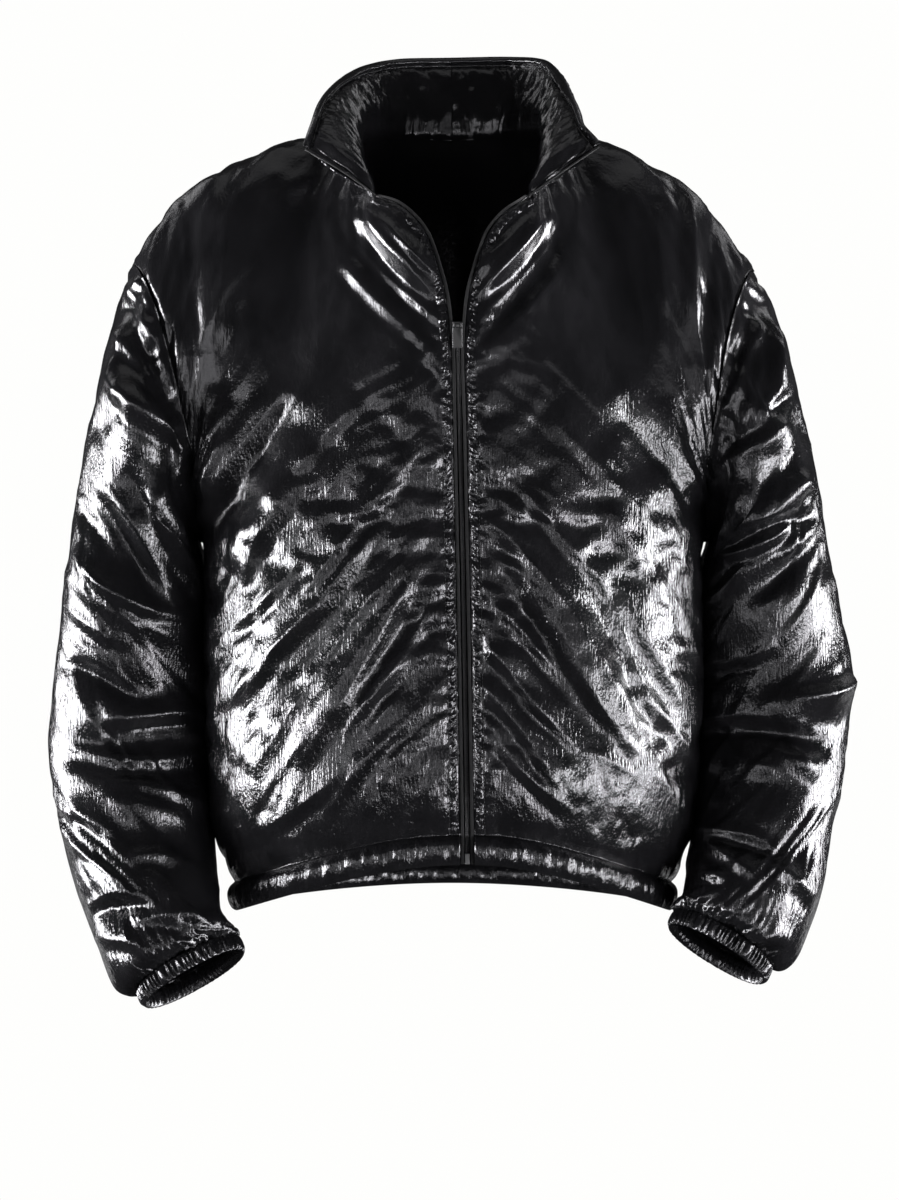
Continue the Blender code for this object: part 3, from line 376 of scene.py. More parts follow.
# share, then outer x and z, inner x and z, y and half depth in mm, front lift
SLEEVE_RINGS = {}
SLEEVE_RINGS[RIGHT] = figures("""
0.09 310 -172 237 -374 0 104 0
0.2 330 -253 235 -384 0 98 0
0.31 347 -341 233.5 -404 2 90 0
0.42 357.5 -426 233 -445 5 84 0
0.54 368 -510.6 232.5 -506 9 80 0
0.61 371.2 -556 232 -548 6 80 0.04
0.7 362.5 -614 231.5 -600 -6 78 0.12
0.77 351 -662 228.5 -644 -22 75 0.2
0.84 337 -699 222.5 -677 -40 72 0.28
0.9 321.5 -734 215 -703 -56 68 0.33
0.945 306 -768 204 -718 -69 60 0.35
0.98 290 -774.5 198.5 -722 -73 48 0.35
1 283.5 -776 197.5 -728.5 -74 43 0.35
""", 1, 7)
SLEEVE_RINGS[LEFT] = figures("""
0.09 298.5 -172 238 -376 0 103 0
0.2 320 -250 237 -387 0 98 0
0.31 339 -334 236 -405 2 90 0
0.42 353 -418 235.5 -443 6 84 0
0.52 370 -487 235 -492 12 80 0
0.6 364 -540 234.5 -538 6 79 0.05
0.68 358 -590 233 -584 -6 77 0.12
0.76 346.5 -634 230 -626 -21 75 0.2
0.84 338 -677 224.5 -660 -40 72 0.28
0.9 327 -711 217.5 -686 -56 68 0.33
0.945 312 -744 210 -695 -68 60 0.35
0.98 294.5 -751 206.5 -698.5 -73 48 0.35
1 288 -754.5 206 -705.5 -74 43 0.35
""", 1, 7)


def sleeve_section(row, side, turns):
    """One squared, leaning section of a sleeve."""
    _, outer_x, outer_z, inner_x, inner_z, y, half_depth, lift = row
    outer = np.array((side * outer_x, y, outer_z))
    inner = np.array((side * inner_x, y, inner_z))
    forward = np.array((0.0, -1.0, lift)) / math.hypot(1.0, lift)
    cosine, sine = np.cos(turns)[:, None], np.sin(turns)[:, None]
    power = 2 / SLEEVE_SQUARE
    across = np.sign(cosine) * np.abs(cosine) ** power
    deep = np.sign(sine) * np.abs(sine) ** power
    middle = (outer + inner) / 2
    return middle + (inner - middle) * across + forward * half_depth * deep


def sleeve_skin(side, armhole):
    """A sleeve: columns round it, rows down to the cuff."""
    turns = 2 * math.pi * np.arange(len(armhole)) / len(armhole)
    table = SLEEVE_RINGS[side]
    first = sleeve_section(table[0], side, turns)
    low = (1 + np.cos(turns))[:, None] / 2
    spring = armhole + (first - armhole) * SPRING_SHARE / table[0][0]
    spring = spring + np.array((side * SPRING_OUT, 0.0, SPRING_UP)) * low
    rings = np.stack([armhole, spring] + [sleeve_section(row, side, turns) for row in table])
    shares = np.array([0.0, SPRING_SHARE] + [row[0] for row in table])
    wanted = np.linspace(0, SLEEVE_ENDS[0], SLEEVE_ROWS * FINER + 1)
    for start, end in zip(SLEEVE_ENDS, SLEEVE_ENDS[1:]):
        wanted = np.concatenate((wanted, np.linspace(start, end, FINER + 1)[1:]))
    return read(wanted, shares, rings).transpose(1, 0, 2)


LOWER = BODY_ROWS * FINER
for (side, word), behind in zip(SIDES.items(), (back_right, back_left)):
    armhole = (skins[f"front_{word}"][-1, LOWER:], behind[-1, LOWER:][-2:0:-1])
    skins[f"sleeve_{word}"] = sleeve_skin(side, np.concatenate(armhole))
    print(f"sleeve_{word}", skins[f"sleeve_{word}"].shape)

# %% [markdown]
# ## Sleeves that rest against the sides
#
# A worn sleeve presses on the side it hangs beside, and both soft walls give until
# almost no light comes through. A collision in the cloth simulation could find
# that, slowly. Measuring the gap level by level and letting both walls swell into
# it gives the same look at once. Neither the hem nor the cuffs move.

# %% Swell of the sides
LEVELS = np.arange(-0.66, -0.12, 0.01)  # heights at which the gap is measured
LEVEL_HALF = 0.008  # a point counts for a level when it is this near
SWELL_SHARE, SWELL_MOST = 0.38, 0.0065  # of the gap, and m
ARMPIT = (-0.41, -0.378)  # the swell has ended between these heights


def at_levels(spots, side, pick):
    """The outermost or innermost x at each level."""
    x, z = side * spots[..., 0].ravel(), spots[..., 2].ravel()
    return np.array([pick(x[np.abs(z - level) < LEVEL_HALF]) for level in LEVELS])


def swell_together(side, sleeve, front, back):
    """Moves a sleeve and the side that it hangs beside toward each other, in place."""
    body_out = np.maximum(at_levels(front, side, np.max), at_levels(back, side, np.max))
    inner, outer = at_levels(sleeve, side, np.min), at_levels(sleeve, side, np.max)
    gap = inner - body_out
    swell = np.clip(SWELL_SHARE * gap, 0, SWELL_MOST)
    swell = np.convolve(np.pad(swell, 2, "edge"), np.ones(5) / 5, "valid")
    swell *= 1 - smooth(*ARMPIT, LEVELS)
    for panel in (front, back):
        z, x = panel[..., 2], side * panel[..., 0]
        share = smooth(0.84, 1.0, x / np.interp(z, LEVELS, body_out))
        panel[..., 0] += side * np.interp(z, LEVELS, swell) * share * smooth(-0.68, -0.62, z)
    z, x = sleeve[..., 2], side * sleeve[..., 0]
    near, far = np.interp(z, LEVELS, inner), np.interp(z, LEVELS, outer)
    share = 1 - smooth(0.0, 0.3, (x - near) / np.maximum(far - near, 0.01))
    sleeve[..., 0] -= side * np.interp(z, LEVELS, swell) * share * smooth(-0.72, -0.65, z)
    return gap


for side, word in SIDES.items():
    gap = swell_together(side, skins[f"sleeve_{word}"], skins[f"front_{word}"], skins["back"])
    print(word, "gaps mm", (1000 * gap).round(1)[::4])

# %% [markdown]
# ## Which way the cloth faces
#
# Every crease is a lift along the direction that the cloth faces. Blender could give
# those directions once there is a mesh, but the lifts are worked out before. Where
# two pieces meet they share a seam, so they share its direction too, and no gap
# opens between them.


# %% Directions, and lengths along the cloth
def is_closed(name):
    """Whether a piece's columns go all the way round."""
    return name.startswith("sleeve")


def facing(name, grid):
    """Which way a piece's cloth faces: outward."""
    if is_closed(name):
        across = np.gradient(np.concatenate((grid[-1:], grid, grid[:1])), axis=0)[1:-1]
        centre = grid.mean(axis=0, keepdims=True)
    else:
        across = np.gradient(grid, axis=0)
        centre = grid * (0, 0, 1) - (0, 0, 0.10)
    normal = unit(np.cross(across, np.gradient(grid, axis=1)))
    return normal * np.sign(np.sum(normal * (grid - centre)))


def travelled(grid, axis):
    """Distance along the cloth from its first line."""
    steps = np.linalg.norm(np.diff(grid, axis=axis), axis=-1)
    start = np.zeros_like(np.take(steps, [0], axis=axis))
    return np.concatenate((start, np.cumsum(steps, axis=axis)), axis=axis)


def seam_key(place):
    """The same word for the same point, whichever piece it belongs to."""
    return tuple(np.round(place, 6))


def edges_of(name, grid):
    """Where a grid's seam points are."""
    rows, columns = grid.shape[:2]
    found = [(i, j) for i in range(rows) for j in (0, columns - 1)]
    if not is_closed(name):
        found += [(i, j) for i in (0, rows - 1) for j in range(columns)]
    return found


normals = {name: facing(name, skin) for name, skin in skins.items()}
seam_normals = {}
for name, skin in skins.items():
    for i, j in edges_of(name, skin):
        seam_normals.setdefault(seam_key(skin[i, j]), {})[name] = normals[name][i, j].copy()
for name, skin in skins.items():
    for i, j in edges_of(name, skin):
        shared = list(seam_normals[seam_key(skin[i, j])].values())
        normals[name][i, j] = unit(np.sum(shared, axis=0))
print("seam points", len(seam_normals))

# %% [markdown]
# ## A panel and its own measures
#
# A tailor measures along the cloth, not through the air. Each panel gets two such
# measures in millimetres, u round the body or the sleeve and v along it, and how
# far each point is from the nearest seam. UV maps could hold them, but plain
# arrays are easier to reckon with.


# %% Cloth coordinates
class Cloth:
    """One piece's cloth: places, directions, and its own coordinates in millimetres."""

    def __init__(self, name):
        self.name = name
        self.kind = name.split("_")[0]
        self.place = skins[name]
        self.normal = normals[name]
        self.closed = is_closed(name)
        ring = np.concatenate((self.place, self.place[:1])) if self.closed else self.place
        self.u = travelled(ring, 0) * 1000
        self.around = self.u[-1]
        self.u = self.u[: len(self.place)]
        self.v = travelled(self.place, 1) * 1000
        self.far_v = self.v[:, -1:] - self.v
        self.seam = np.minimum(self.v, self.far_v)
        if not self.closed:
            self.seam = np.minimum(self.seam, np.minimum(self.u, self.around - self.u))
        self.lift = np.zeros(self.u.shape)

    def across(self, u0):
        """Signed distance round from u0, the short way on a closed piece."""
        away = self.u - u0
        if self.closed:
            away = (away + self.around / 2) % self.around - self.around / 2
        return away


print("panels", list(skins))

# %% [markdown]
# ## Uneven lines
#
# Nothing sewn is quite even. Blender's noise could be used here, but a row of fixed
# random numbers, joined smoothly, can be stretched along a seam in millimetres and
# gives the same result on every run. Tucks have sharp crests instead, as cloth
# has where a tight thread gathers it.

# %% Uneven lines
SEED = 20
WANDER_START = 37.0  # keeps places a little below zero inside the row of numbers


def steps_of(places):
    """The whole steps in places, and the eased rest."""
    at = places + WANDER_START
    low = np.floor(at).astype(int)
    return low, eased(at - low)


def wander(places, pitch, seed):
    """Smooth random line: about -1 to 1, changing every pitch."""
    values = np.random.default_rng(seed).uniform(-1, 1, 4096)
    low, u = steps_of(places / pitch)
    return values[low % 4096] * (1 - u) + values[(low + 1) % 4096] * u


def tucks(places, pitch, seed):
    """Like wander, with sharp crests, as stitched cloth gathers."""
    crests = 0.42 - np.abs(wander(places, pitch * 0.9, seed + 7))
    return 0.45 * wander(places, pitch, seed) + 0.9 * crests


def wander_field(a, b, pitch_a, pitch_b, seed):
    """The same over a surface: about -1 to 1, changing every pitch_a and pitch_b."""
    values = np.random.default_rng(seed).uniform(-1, 1, (256, 256))
    (i, u), (j, w) = steps_of(a / pitch_a), steps_of(b / pitch_b)
    i, j, next_i, next_j = i % 256, j % 256, (i + 1) % 256, (j + 1) % 256
    near, far = (values[k, j] * (1 - w) + values[k, next_j] * w for k in (i, next_i))
    return near * (1 - u) + far * u


print("a little of an uneven line", wander(np.arange(0, 30, 6.0), 10.0, SEED).round(2))

# %% [markdown]
# ## One crease
#
# A crease in coated nylon isn't a round wave. It has a sharp crest, falls steeply
# on one side and gently on the other, has a hollow at its steep foot and bows a
# little on its way. A sculpting brush could draw it, but a formula can be laid
# again at any size, hundreds of times.


# %% One crease
def crease(a, b, line, steep, gentle, tall, bow):
    """The lift of one crease along line, at a and b from its start, all in mm."""
    size = math.hypot(*line)
    share = (a * line[0] + b * line[1]) / size**2
    off = (line[0] * b - line[1] * a) / size - bow * 4 * share * (1 - share)
    width = np.where(off < 0, steep, gentle)
    away = np.sqrt((off / width) ** 2 + 0.02) - 0.14
    crest = np.exp(-away)
    hollow = 0.5 * np.exp(-(((off + 2.1 * steep) / (1.1 * steep)) ** 2))
    taper = np.clip(np.sin(np.pi * np.clip((share + 0.06) / 1.12, 0, 1)), 0, 1) ** 0.75
    return tall * taper * (crest - hollow)


across_it = crease(np.full(7, 20.0), np.linspace(-15, 15, 7), (40, 0), 5, 12, 3.0, 0)
print("across one crease, mm", across_it.round(2))

# %% [markdown]
# ## The broad folds of the cut
#
# Where a wide panel hangs from the shoulder or bends at the elbow, the whole padded
# wall folds. These few folds are in the frame's solids too, so they are laid here
# from the same measures, and they move the outer and the inner surface together.
# Beside the zip the stiff tape holds the cloth flat.

# %% Broad folds
FOLD_BREADTH = 1.2
FOLD_STRENGTH = 1.35
ZIP_STIFF_WIDTH = 0.022
# seen from (-1 front, 1 back), then in mm: x and z at each end, half width, depth
FOLDS = figures("""
-1 -243 -50 -236 -190 13 -8
-1 243 -52 226 -200 13 -8
-1 -216 -362 -150 -250 14 -8
-1 -190 -390 -130 -290 13 6
-1 -212 -240 -214 -350 12 6
-1 -170 -545 -45 -380 14 -7
-1 -130 -550 -35 -375 14 6
-1 -90 -500 -20 -430 13 -5
-1 40 -395 130 -540 14 -7
-1 65 -385 160 -540 14 6
-1 120 -370 190 -545 14 -6
-1 205 -330 150 -250 14 -7
-1 -78 -75 -12 -150 12 7
-1 -92 -90 -22 -185 11 -6
-1 82 -75 25 -150 12 7
-1 98 -90 34 -185 11 -6
1 -210 -340 -120 -230 16 -8
1 210 -340 125 -225 16 -8
1 -190 -400 -60 -330 16 -6
1 190 -410 50 -345 16 -6
1 -180 -530 -20 -450 17 -7
1 185 -560 30 -470 17 -7
1 -150 -610 20 -560 16 6
1 -232 -60 -228 -190 14 -7
1 228 -62 222 -190 14 -7
-1 -290 -150 -250 -270 14 -8
-1 -305 -215 -250 -300 13 7
-1 -335 -320 -250 -420 14 -9
-1 -345 -390 -250 -450 13 8
-1 -350 -470 -270 -510 13 -8
-1 -355 -555 -245 -545 14 -10
-1 -310 -590 -240 -615 12 7
-1 -330 -690 -260 -690 13 -7
-1 280 -150 242 -280 14 -8
-1 325 -335 245 -365 14 -10
-1 325 -300 262 -355 12 8
-1 345 -370 250 -420 13 -8
-1 358 -490 295 -520 13 8
-1 345 -545 240 -530 14 -10
-1 325 -570 265 -565 12 7
-1 320 -650 245 -625 13 -8
1 -325 -280 -250 -350 15 -9
1 -345 -390 -250 -430 14 7
1 -350 -520 -250 -500 15 -10
1 -345 -610 -250 -590 14 -7
1 320 -270 250 -345 15 -9
1 340 -380 250 -420 14 7
1 350 -510 250 -495 15 -10
1 335 -600 250 -580 14 -7
""", 1)


def broad_folds(place, normal):
    """How far the folds move each point along its direction, in metres."""
    depth = np.zeros(place.shape[:-1])
    stiff = np.ones(depth.shape)
    front = place[..., 1] < 0
    from_zip = np.abs(place[..., 0] - zip_x(place[..., 2])) - ZIP_HALF
    stiff[front] = np.clip(from_zip / ZIP_STIFF_WIDTH, 0, 1)[front]
    for seen, x0, z0, x1, z1, width, height in FOLDS:
        line = (x1 - x0, z1 - z0)
        here = (place[..., 0] - x0, place[..., 2] - z0)
        share = (here[0] * line[0] + here[1] * line[1]) / (line[0] ** 2 + line[1] ** 2)
        away = np.abs(line[0] * here[1] - line[1] * here[0]) / math.hypot(*line)
        taper = np.sin(np.pi * np.clip((share + 0.1) / 1.2, 0, 1))
        turned = np.clip(2 * np.abs(normal[..., 1]), 0, 1)
        turned = turned * smooth(0.0, 0.12, seen * normal[..., 1])
        across = away / (width * FOLD_BREADTH)
        depth += height * FOLD_STRENGTH * turned * taper * np.exp(-across * across)
    return depth * stiff


print("broad folds", len(FOLDS))

# %% [markdown]
# ## The main creases
#
# Worn nylon keeps the creases of where it is pulled: fans from the zip to the
# sides, rings round the elbows, long lines under the collar. Simulated cloth gives
# creases of this kind but not in these places, so each is laid one by one, as seen
# from the front, and shows only on cloth that faces there.

# %% Main creases
MAIN_HEIGHT = 1.7  # of the main creases, against their tables
EYE = np.array((-0.0023, -3.0, -0.423))  # the camera's place, from which they are laid
# x and z at each end, steep and gentle half width, height, bow, all in mm
FRONT_CREASES = figures("""
-233 -369 -159 -234 5 11 3.2 8
-207 -243 -232 -363 5 10 2.6 3
-227 -253 -237 -322 4 8 2.2 2
-179 -574 -33 -372 6 13 3.6 7
-137 -569 -28 -375 6 12 3.2 -8
-97 -543 -20 -431 5 11 2.8 -3
-95 -538 -28 -470 5 9 2.2 4
-205 -521 -113 -423 6 12 2.4 5
-171 -474 -67 -349 6 13 2.8 -6
-141 -423 -46 -313 5 11 2.4 4
-214 -460 -141 -386 5 11 2.2 -4
-113 -614 -19 -516 5 11 2.2 5
-180 -639 -102 -581 5 10 2 -4
-197 -423 -154 -335 5 11 2.2 4
-93 -349 -25 -274 5 10 1.8 -4
-141 -302 -86 -237 5 11 1.6 3
-83 -71 -4 -149 4 9 1.7 -4
-93 -88 -6 -167 4 9 1.4 -5
-66 -64 -10 -127 3 7 2 -3
-104 -109 -13 -192 5 10 1.6 -4
-254 -51 -246 -184 7 16 2.4 3
-210 -65 -219 -172 8 18 1.6 4
29 -417 131 -538 5 12 3.2 6
21 -443 112 -555 5 11 3 -5
60 -391 166 -560 6 13 3.4 -7
124 -377 195 -569 6 12 2.8 8
34 -349 102 -427 5 11 2.2 4
63 -313 140 -406 5 11 2.2 -4
26 -501 102 -602 5 11 2.4 5
140 -313 195 -427 6 12 2.2 -5
158 -425 214 -536 5 11 2.4 4
45 -555 112 -620 5 10 2 -4
175 -509 221 -574 5 10 2.2 4
87 -256 175 -349 5 12 1.8 5
221 -367 161 -265 5 11 2.8 -6
231 -330 201 -239 5 10 2.4 4
87 -67 19 -144 4 9 1.7 4
97 -84 20 -164 4 9 1.4 5
72 -62 26 -111 3 7 2 3
106 -109 30 -190 5 10 1.6 4
224 -46 228 -186 7 16 2.4 -3
189 -62 201 -172 8 18 1.6 -4
""")
SLEEVE_CREASES = figures("""
-299 -127 -243 -246 5 12 4.2 -5
-290 -123 -246 -184 4 9 3 -3
-310 -217 -252 -281 5 13 4.6 -5
-316 -172 -272 -230 5 11 3 4
-281 -297 -232 -414 5 12 4.2 -4
-312 -319 -257 -431 6 14 4.4 4
-343 -324 -305 -381 5 10 3 4
-341 -379 -257 -433 5 13 4.6 -7
-350 -470 -285 -506 5 12 3.6 4
-352 -423 -299 -460 5 12 2.8 -4
-319 -532 -229 -524 5 12 3.8 4
-355 -554 -231 -559 6 14 4.6 -9
-307 -586 -225 -618 5 12 3.6 5
-296 -657 -256 -663 5 10 3 4
-339 -702 -278 -697 5 11 3.4 9
-303 -713 -214 -724 5 11 3.2 7
-331 -730 -281 -744 5 10 2.6 4
-365 -609 -309 -637 5 12 2.8 4
293 -142 234 -283 5 12 4.2 5
294 -146 299 -231 4 9 3.2 2
316 -237 251 -302 5 12 3.2 4
235 -373 326 -332 5 13 5 8
256 -361 326 -337 4 10 3.2 4
242 -377 326 -335 5 12 4.2 -9
271 -383 237 -423 4 9 3 3
342 -367 286 -423 5 12 3 4
374 -488 318 -509 5 11 4 4
229 -479 296 -460 5 12 3 -4
229 -532 348 -548 6 14 4.8 12
281 -546 328 -585 5 11 3.4 4
308 -552 328 -578 4 8 2.6 2
244 -530 266 -542 4 8 2.4 2
235 -633 312 -656 5 12 4 8
235 -634 284 -675 5 11 3.2 -3
229 -675 256 -678 4 9 2.4 2
286 -658 334 -695 5 11 3.2 4
273 -735 314 -730 5 10 3 4
270 -753 313 -758 5 9 2.6 -3
""")


def main_creases(cloth, table):
    """Lays a table's creases on the part of a panel that faces the eye."""
    ahead = -EYE[1] / (cloth.place[..., 1] - EYE[1])
    x = (EYE[0] + (cloth.place[..., 0] - EYE[0]) * ahead) * 1000
    z = (EYE[2] + (cloth.place[..., 2] - EYE[2]) * ahead) * 1000
    seen = smooth(0.05, 0.40, -cloth.normal[..., 1])
    for x0, z0, x1, z1, steep, gentle, tall, bow in table:
        line, tall = (x1 - x0, z1 - z0), MAIN_HEIGHT * tall
        cloth.lift += seen * crease(x - x0, z - z0, line, steep, gentle, tall, bow)


print("main creases", len(FRONT_CREASES) + len(SLEEVE_CREASES))

# %% [markdown]
# ## The small creases of wear
#
# Between the main creases lie many small ones, densest beside the zip, at the hem
# and round the sleeves. A bump in the material could hint at them, but it can't
# catch light on one flank and lose it on the other at this size. They are
# scattered at random from a fixed seed, within limits set for each kind of panel.

# %% Small creases
# shares of u and of v from and to, count, angle and its spread, length from and to,
# height, width; degrees and mm
SMALL_CREASES = {}
SMALL_CREASES["front"] = figures("""
0.05 0.95 0.1 0.62 90 130 18 40 130 1.2 4.4
0 0.22 0.06 0.72 90 150 18 20 60 1.1 3
0.72 1 0.04 0.62 26 95 22 30 90 0.9 3.8
0.55 1 0.42 0.64 40 120 28 22 70 1.6 4
0 1 0 0.12 80 92 18 10 34 1 2.8
0.1 0.9 0.62 0.96 20 100 45 30 90 0.4 6
0 0.1 0.66 1 45 160 28 10 28 0.7 2.4
""")
SMALL_CREASES["back"] = figures("""
0.02 0.98 0.06 0.62 260 60 60 30 120 1.5 4.6
0 1 0 0.12 150 92 18 10 34 1 2.8
0.02 0.18 0.3 0.98 60 100 30 25 80 1.4 4.2
0.82 0.98 0.3 0.98 60 80 30 25 80 1.4 4.2
0.2 0.8 0.62 0.98 50 95 50 30 90 0.7 5.5
""")
SMALL_CREASES["sleeve"] = figures("""
0 1 0.04 0.92 110 2 26 50 150 2.2 5.2
0 1 0.84 1 110 90 22 12 34 1.1 2.8
0 1 0 0.12 70 88 26 14 40 1 3
""")


def small_creases(cloth, seed):
    """Scatters a panel's small creases over it."""
    random = np.random.default_rng(seed)
    open_faces = 0.45 + 0.55 * np.clip(1.5 * np.abs(cloth.normal[..., 1]), 0, 1)
    lift = np.zeros(cloth.u.shape)
    around, down = float(cloth.around.mean()), float(cloth.v[:, -1].mean())
    for row in SMALL_CREASES[cloth.kind]:
        u0, u1, v0, v1, count, angle, spread, short, longest, tall, width = row
        for _ in range(int(count)):
            at_u = random.uniform(u0, u1) * around
            at_v = random.uniform(v0, v1) * down
            turn = math.radians(random.normal(angle, spread))
            length = random.uniform(short, longest)
            line = (length * math.cos(turn), length * math.sin(turn))
            height = tall * random.uniform(0.35, 1.0) * random.choice((1, 1, -0.7))
            steep = width * random.uniform(0.7, 1.2)
            gentle = steep * random.uniform(1.1, 2.4)
            if random.random() >= 0.5:
                steep, gentle = gentle, steep
            bow = length * random.uniform(-0.12, 0.12)
            a = cloth.across(at_u) + line[0] / 2
            b = cloth.v - at_v + line[1] / 2
            reach = length + 30
            near = (np.abs(a) < reach) & (np.abs(b) < reach)
            if near.any():
                lift[near] += crease(a[near], b[near], line, steep, gentle, height, bow)
    cloth.lift += lift * open_faces


print("kinds of small crease", len(SMALL_CREASES))

# %% [markdown]
# ## Puckers at the seams
#
# A seam's thread is shorter than the cloth it holds, so short uneven tucks run away
# from it into the panel. Shrinking the edges in the simulation would need a far
# finer grid. Here they are reckoned from the distance to the seam and the run
# along it. A row of stitches also presses a dimpled groove into the padding, and
# the elastic cuff throws its own gathers up the sleeve.

# %% Puckers, stitched grooves and cuff gathers
CUFF_GATHERS = 56  # round each cuff
ZIP_STITCH = 9.4  # zip's edge to the row of stitches, mm
GROOVE_HALF = 1.6  # mm


def pucker(cloth, away, run, reach, tall, pitch, seed):
    """Short uneven tucks that run away from a seam: away from it, run along it."""
    slant = 0.5 * wander(run, 60.0, seed + 1)
    fine = 1.4 * tucks(run + away * slant, pitch, seed)
    coarse = wander(run + away * slant, pitch * 2.3, seed + 2)
    long = reach * (1 + 0.6 * wander(run, pitch * 1.7, seed + 3))
    near = 1 - np.exp(-((away / 3.5) ** 2))
    cloth.lift += tall * (0.6 * fine + 0.6 * coarse) * near * np.exp(-((away / long) ** 1.4))


def stitched_line(cloth, away, run, at, deep, seed):
    """The groove that a row of stitches pulls into the padding."""
    dimple = 1 + 0.5 * wander(run, 4.2, seed)
    cloth.lift -= deep * dimple * np.exp(-(((away - at) / GROOVE_HALF) ** 2))


def cuff_wave(name, share):
    """Uneven gathers round a cuff: share is from 0 to 1 round it."""
    seed = 71 if "right" in name else 83
    slow = 0.006 * np.sin(2 * np.pi * (7 * share + 0.3))
    quick = 0.004 * np.sin(2 * np.pi * 17 * share)
    depth = 0.75 + 0.35 * wander(share * 200, 5.0, seed)
    edge = smooth(0, 0.02, share) * smooth(0, 0.02, 1 - share)
    wave = np.cos(2 * np.pi * CUFF_GATHERS * (share + slow + quick))
    return wave * (0.75 * (1 - edge) + depth * edge)


print("gathers round a cuff", CUFF_GATHERS)

# %% [markdown]
# ## Faces over a grid
#
# Every panel is a grid of points, so its faces follow from its rows and columns.
# Blender can turn faces outward by itself, but only for closed bodies. Here the
# known direction of the cloth decides.


# %% Faces over a grid
def grid_faces(rows, columns, closed_rows=False, closed_columns=False):
    """Quads over a grid of points stored row by row."""
    i = np.arange(rows if closed_rows else rows - 1)
    j = np.arange(columns if closed_columns else columns - 1)
    i, j = (part.ravel() for part in np.meshgrid(i, j, indexing="ij"))
    on_i, on_j = (i + 1) % rows, (j + 1) % columns
    corners = (i * columns + j, on_i * columns + j, on_i * columns + on_j, i * columns + on_j)
    return np.stack(corners, axis=1)


def turned_outward(points, faces, outward):
    """Faces with their corners in the order that makes them face outward."""
    flat = points.reshape(-1, 3)
    a, b, d = (flat[faces[:, k]] for k in (0, 1, 3))
    sense = np.sum(np.cross(b - a, d - a) * outward.reshape(-1, 3)[faces[:, 0]])
    return faces if sense > 0 else faces[:, ::-1]


def placed(name, data):
    """An object with this data, put into the scene."""
    thing = bpy.data.objects.new(name, data)
    bpy.context.scene.collection.objects.link(thing)
    return thing


print("faces of a 3 by 3 grid", len(grid_faces(3, 3)))

# %% [markdown]
# ## Cloth that buckles between its seams
#
# On the real jacket each panel is cut a little larger than the space between its
# seams, so the filling pushes it out and it buckles. Blender's Cloth does just that:
# the panel's points are pinned at the seams, its cloth rests a few per cent larger
# than it is drawn, and pressure fills it. Only the wrinkles are kept: the slow swell
# is taken off again, so the jacket keeps its size. A coarser grid keeps this quick.

# %% Settling cloth
SETTLE_STEP = 2  # divisions of the cut in one of the settling cloth's
SETTLE_FRAMES = 20
SETTLE_START = 1.2  # mm, how uneven the cloth is before it settles
SETTLE_CAP = 7.0  # mm, how far a point of the cloth may end from where it was drawn
SETTLE_SHARE = 1.25  # of what the cap leaves
SETTLE_SWELL = 9  # divisions over which the swell is evened out
SETTLE = {
    # piece: how much larger the cloth is, pressure, bending stiffness
    "front": (0.010, 4.0, 4.0),
    "back": (0.03, 4.0, 3.0),
    "sleeve": (0.06, 4.0, 4.0),
}


def blurred(values, count, closed):
    """Evens values out over both grid directions, count times."""
    for _ in range(count):
        before, after = np.roll(values, 1, axis=0), np.roll(values, -1, axis=0)
        if not closed:
            before[0], after[-1] = values[0], values[-1]
        values = 0.25 * before + 0.5 * values + 0.25 * after
        padded = np.concatenate((values[:, :1], values, values[:, -1:]), axis=1)
        values = 0.25 * padded[:, :-2] + 0.5 * values + 0.25 * padded[:, 2:]
    return values


def filled_in(values, closed):
    """Values on the settling grid, carried to every point of the fine grid."""
    if closed:
        values = np.concatenate((values, values[:1]))
    for axis in (0, 1):
        a = np.moveaxis(values, axis, 0)
        fine = np.zeros((2 * len(a) - 1, *a.shape[1:]))
        fine[::2] = a
        fine[1::2] = (a[1:] + a[:-1]) / 2
        values = np.moveaxis(fine, 0, axis)
    if closed:
        values = values[:-1]
    return blurred(values, 1, closed)


def buckled(kind, start, faces, pinned):
    """Where a panel's points are after Blender's Cloth has filled and buckled it."""
    larger, pressure, bending = SETTLE[kind]
    mesh = bpy.data.meshes.new("settling")
    mesh.from_pydata(start.reshape(-1, 3).tolist(), [], faces.tolist())
    panel = placed("settling", mesh)
    seams = panel.vertex_groups.new(name="seams")
    seams.add(np.unique(pinned).tolist(), 1.0, "REPLACE")
    modifier = panel.modifiers.new("cloth", "CLOTH")
    rule = modifier.settings
    rule.quality = 5
    rule.mass = 0.3
    rule.tension_stiffness = rule.compression_stiffness = 15
    rule.shear_stiffness = 5
    rule.bending_stiffness = bending
    rule.vertex_group_mass = "seams"
    rule.shrink_min = -larger
    rule.use_pressure = True
    rule.uniform_pressure_force = pressure
    rule.effector_weights.gravity = 0
    modifier.collision_settings.use_collision = False
    modifier.point_cache.frame_start, modifier.point_cache.frame_end = 1, SETTLE_FRAMES
    for step in range(1, SETTLE_FRAMES + 1):
        bpy.context.scene.frame_set(step)
    worked = panel.evaluated_get(bpy.context.evaluated_depsgraph_get()).to_mesh()
    flat = np.zeros(start.size)
    worked.vertices.foreach_get("co", flat)
    bpy.data.objects.remove(panel)
    bpy.context.scene.frame_set(1)
    return flat.reshape(start.shape)


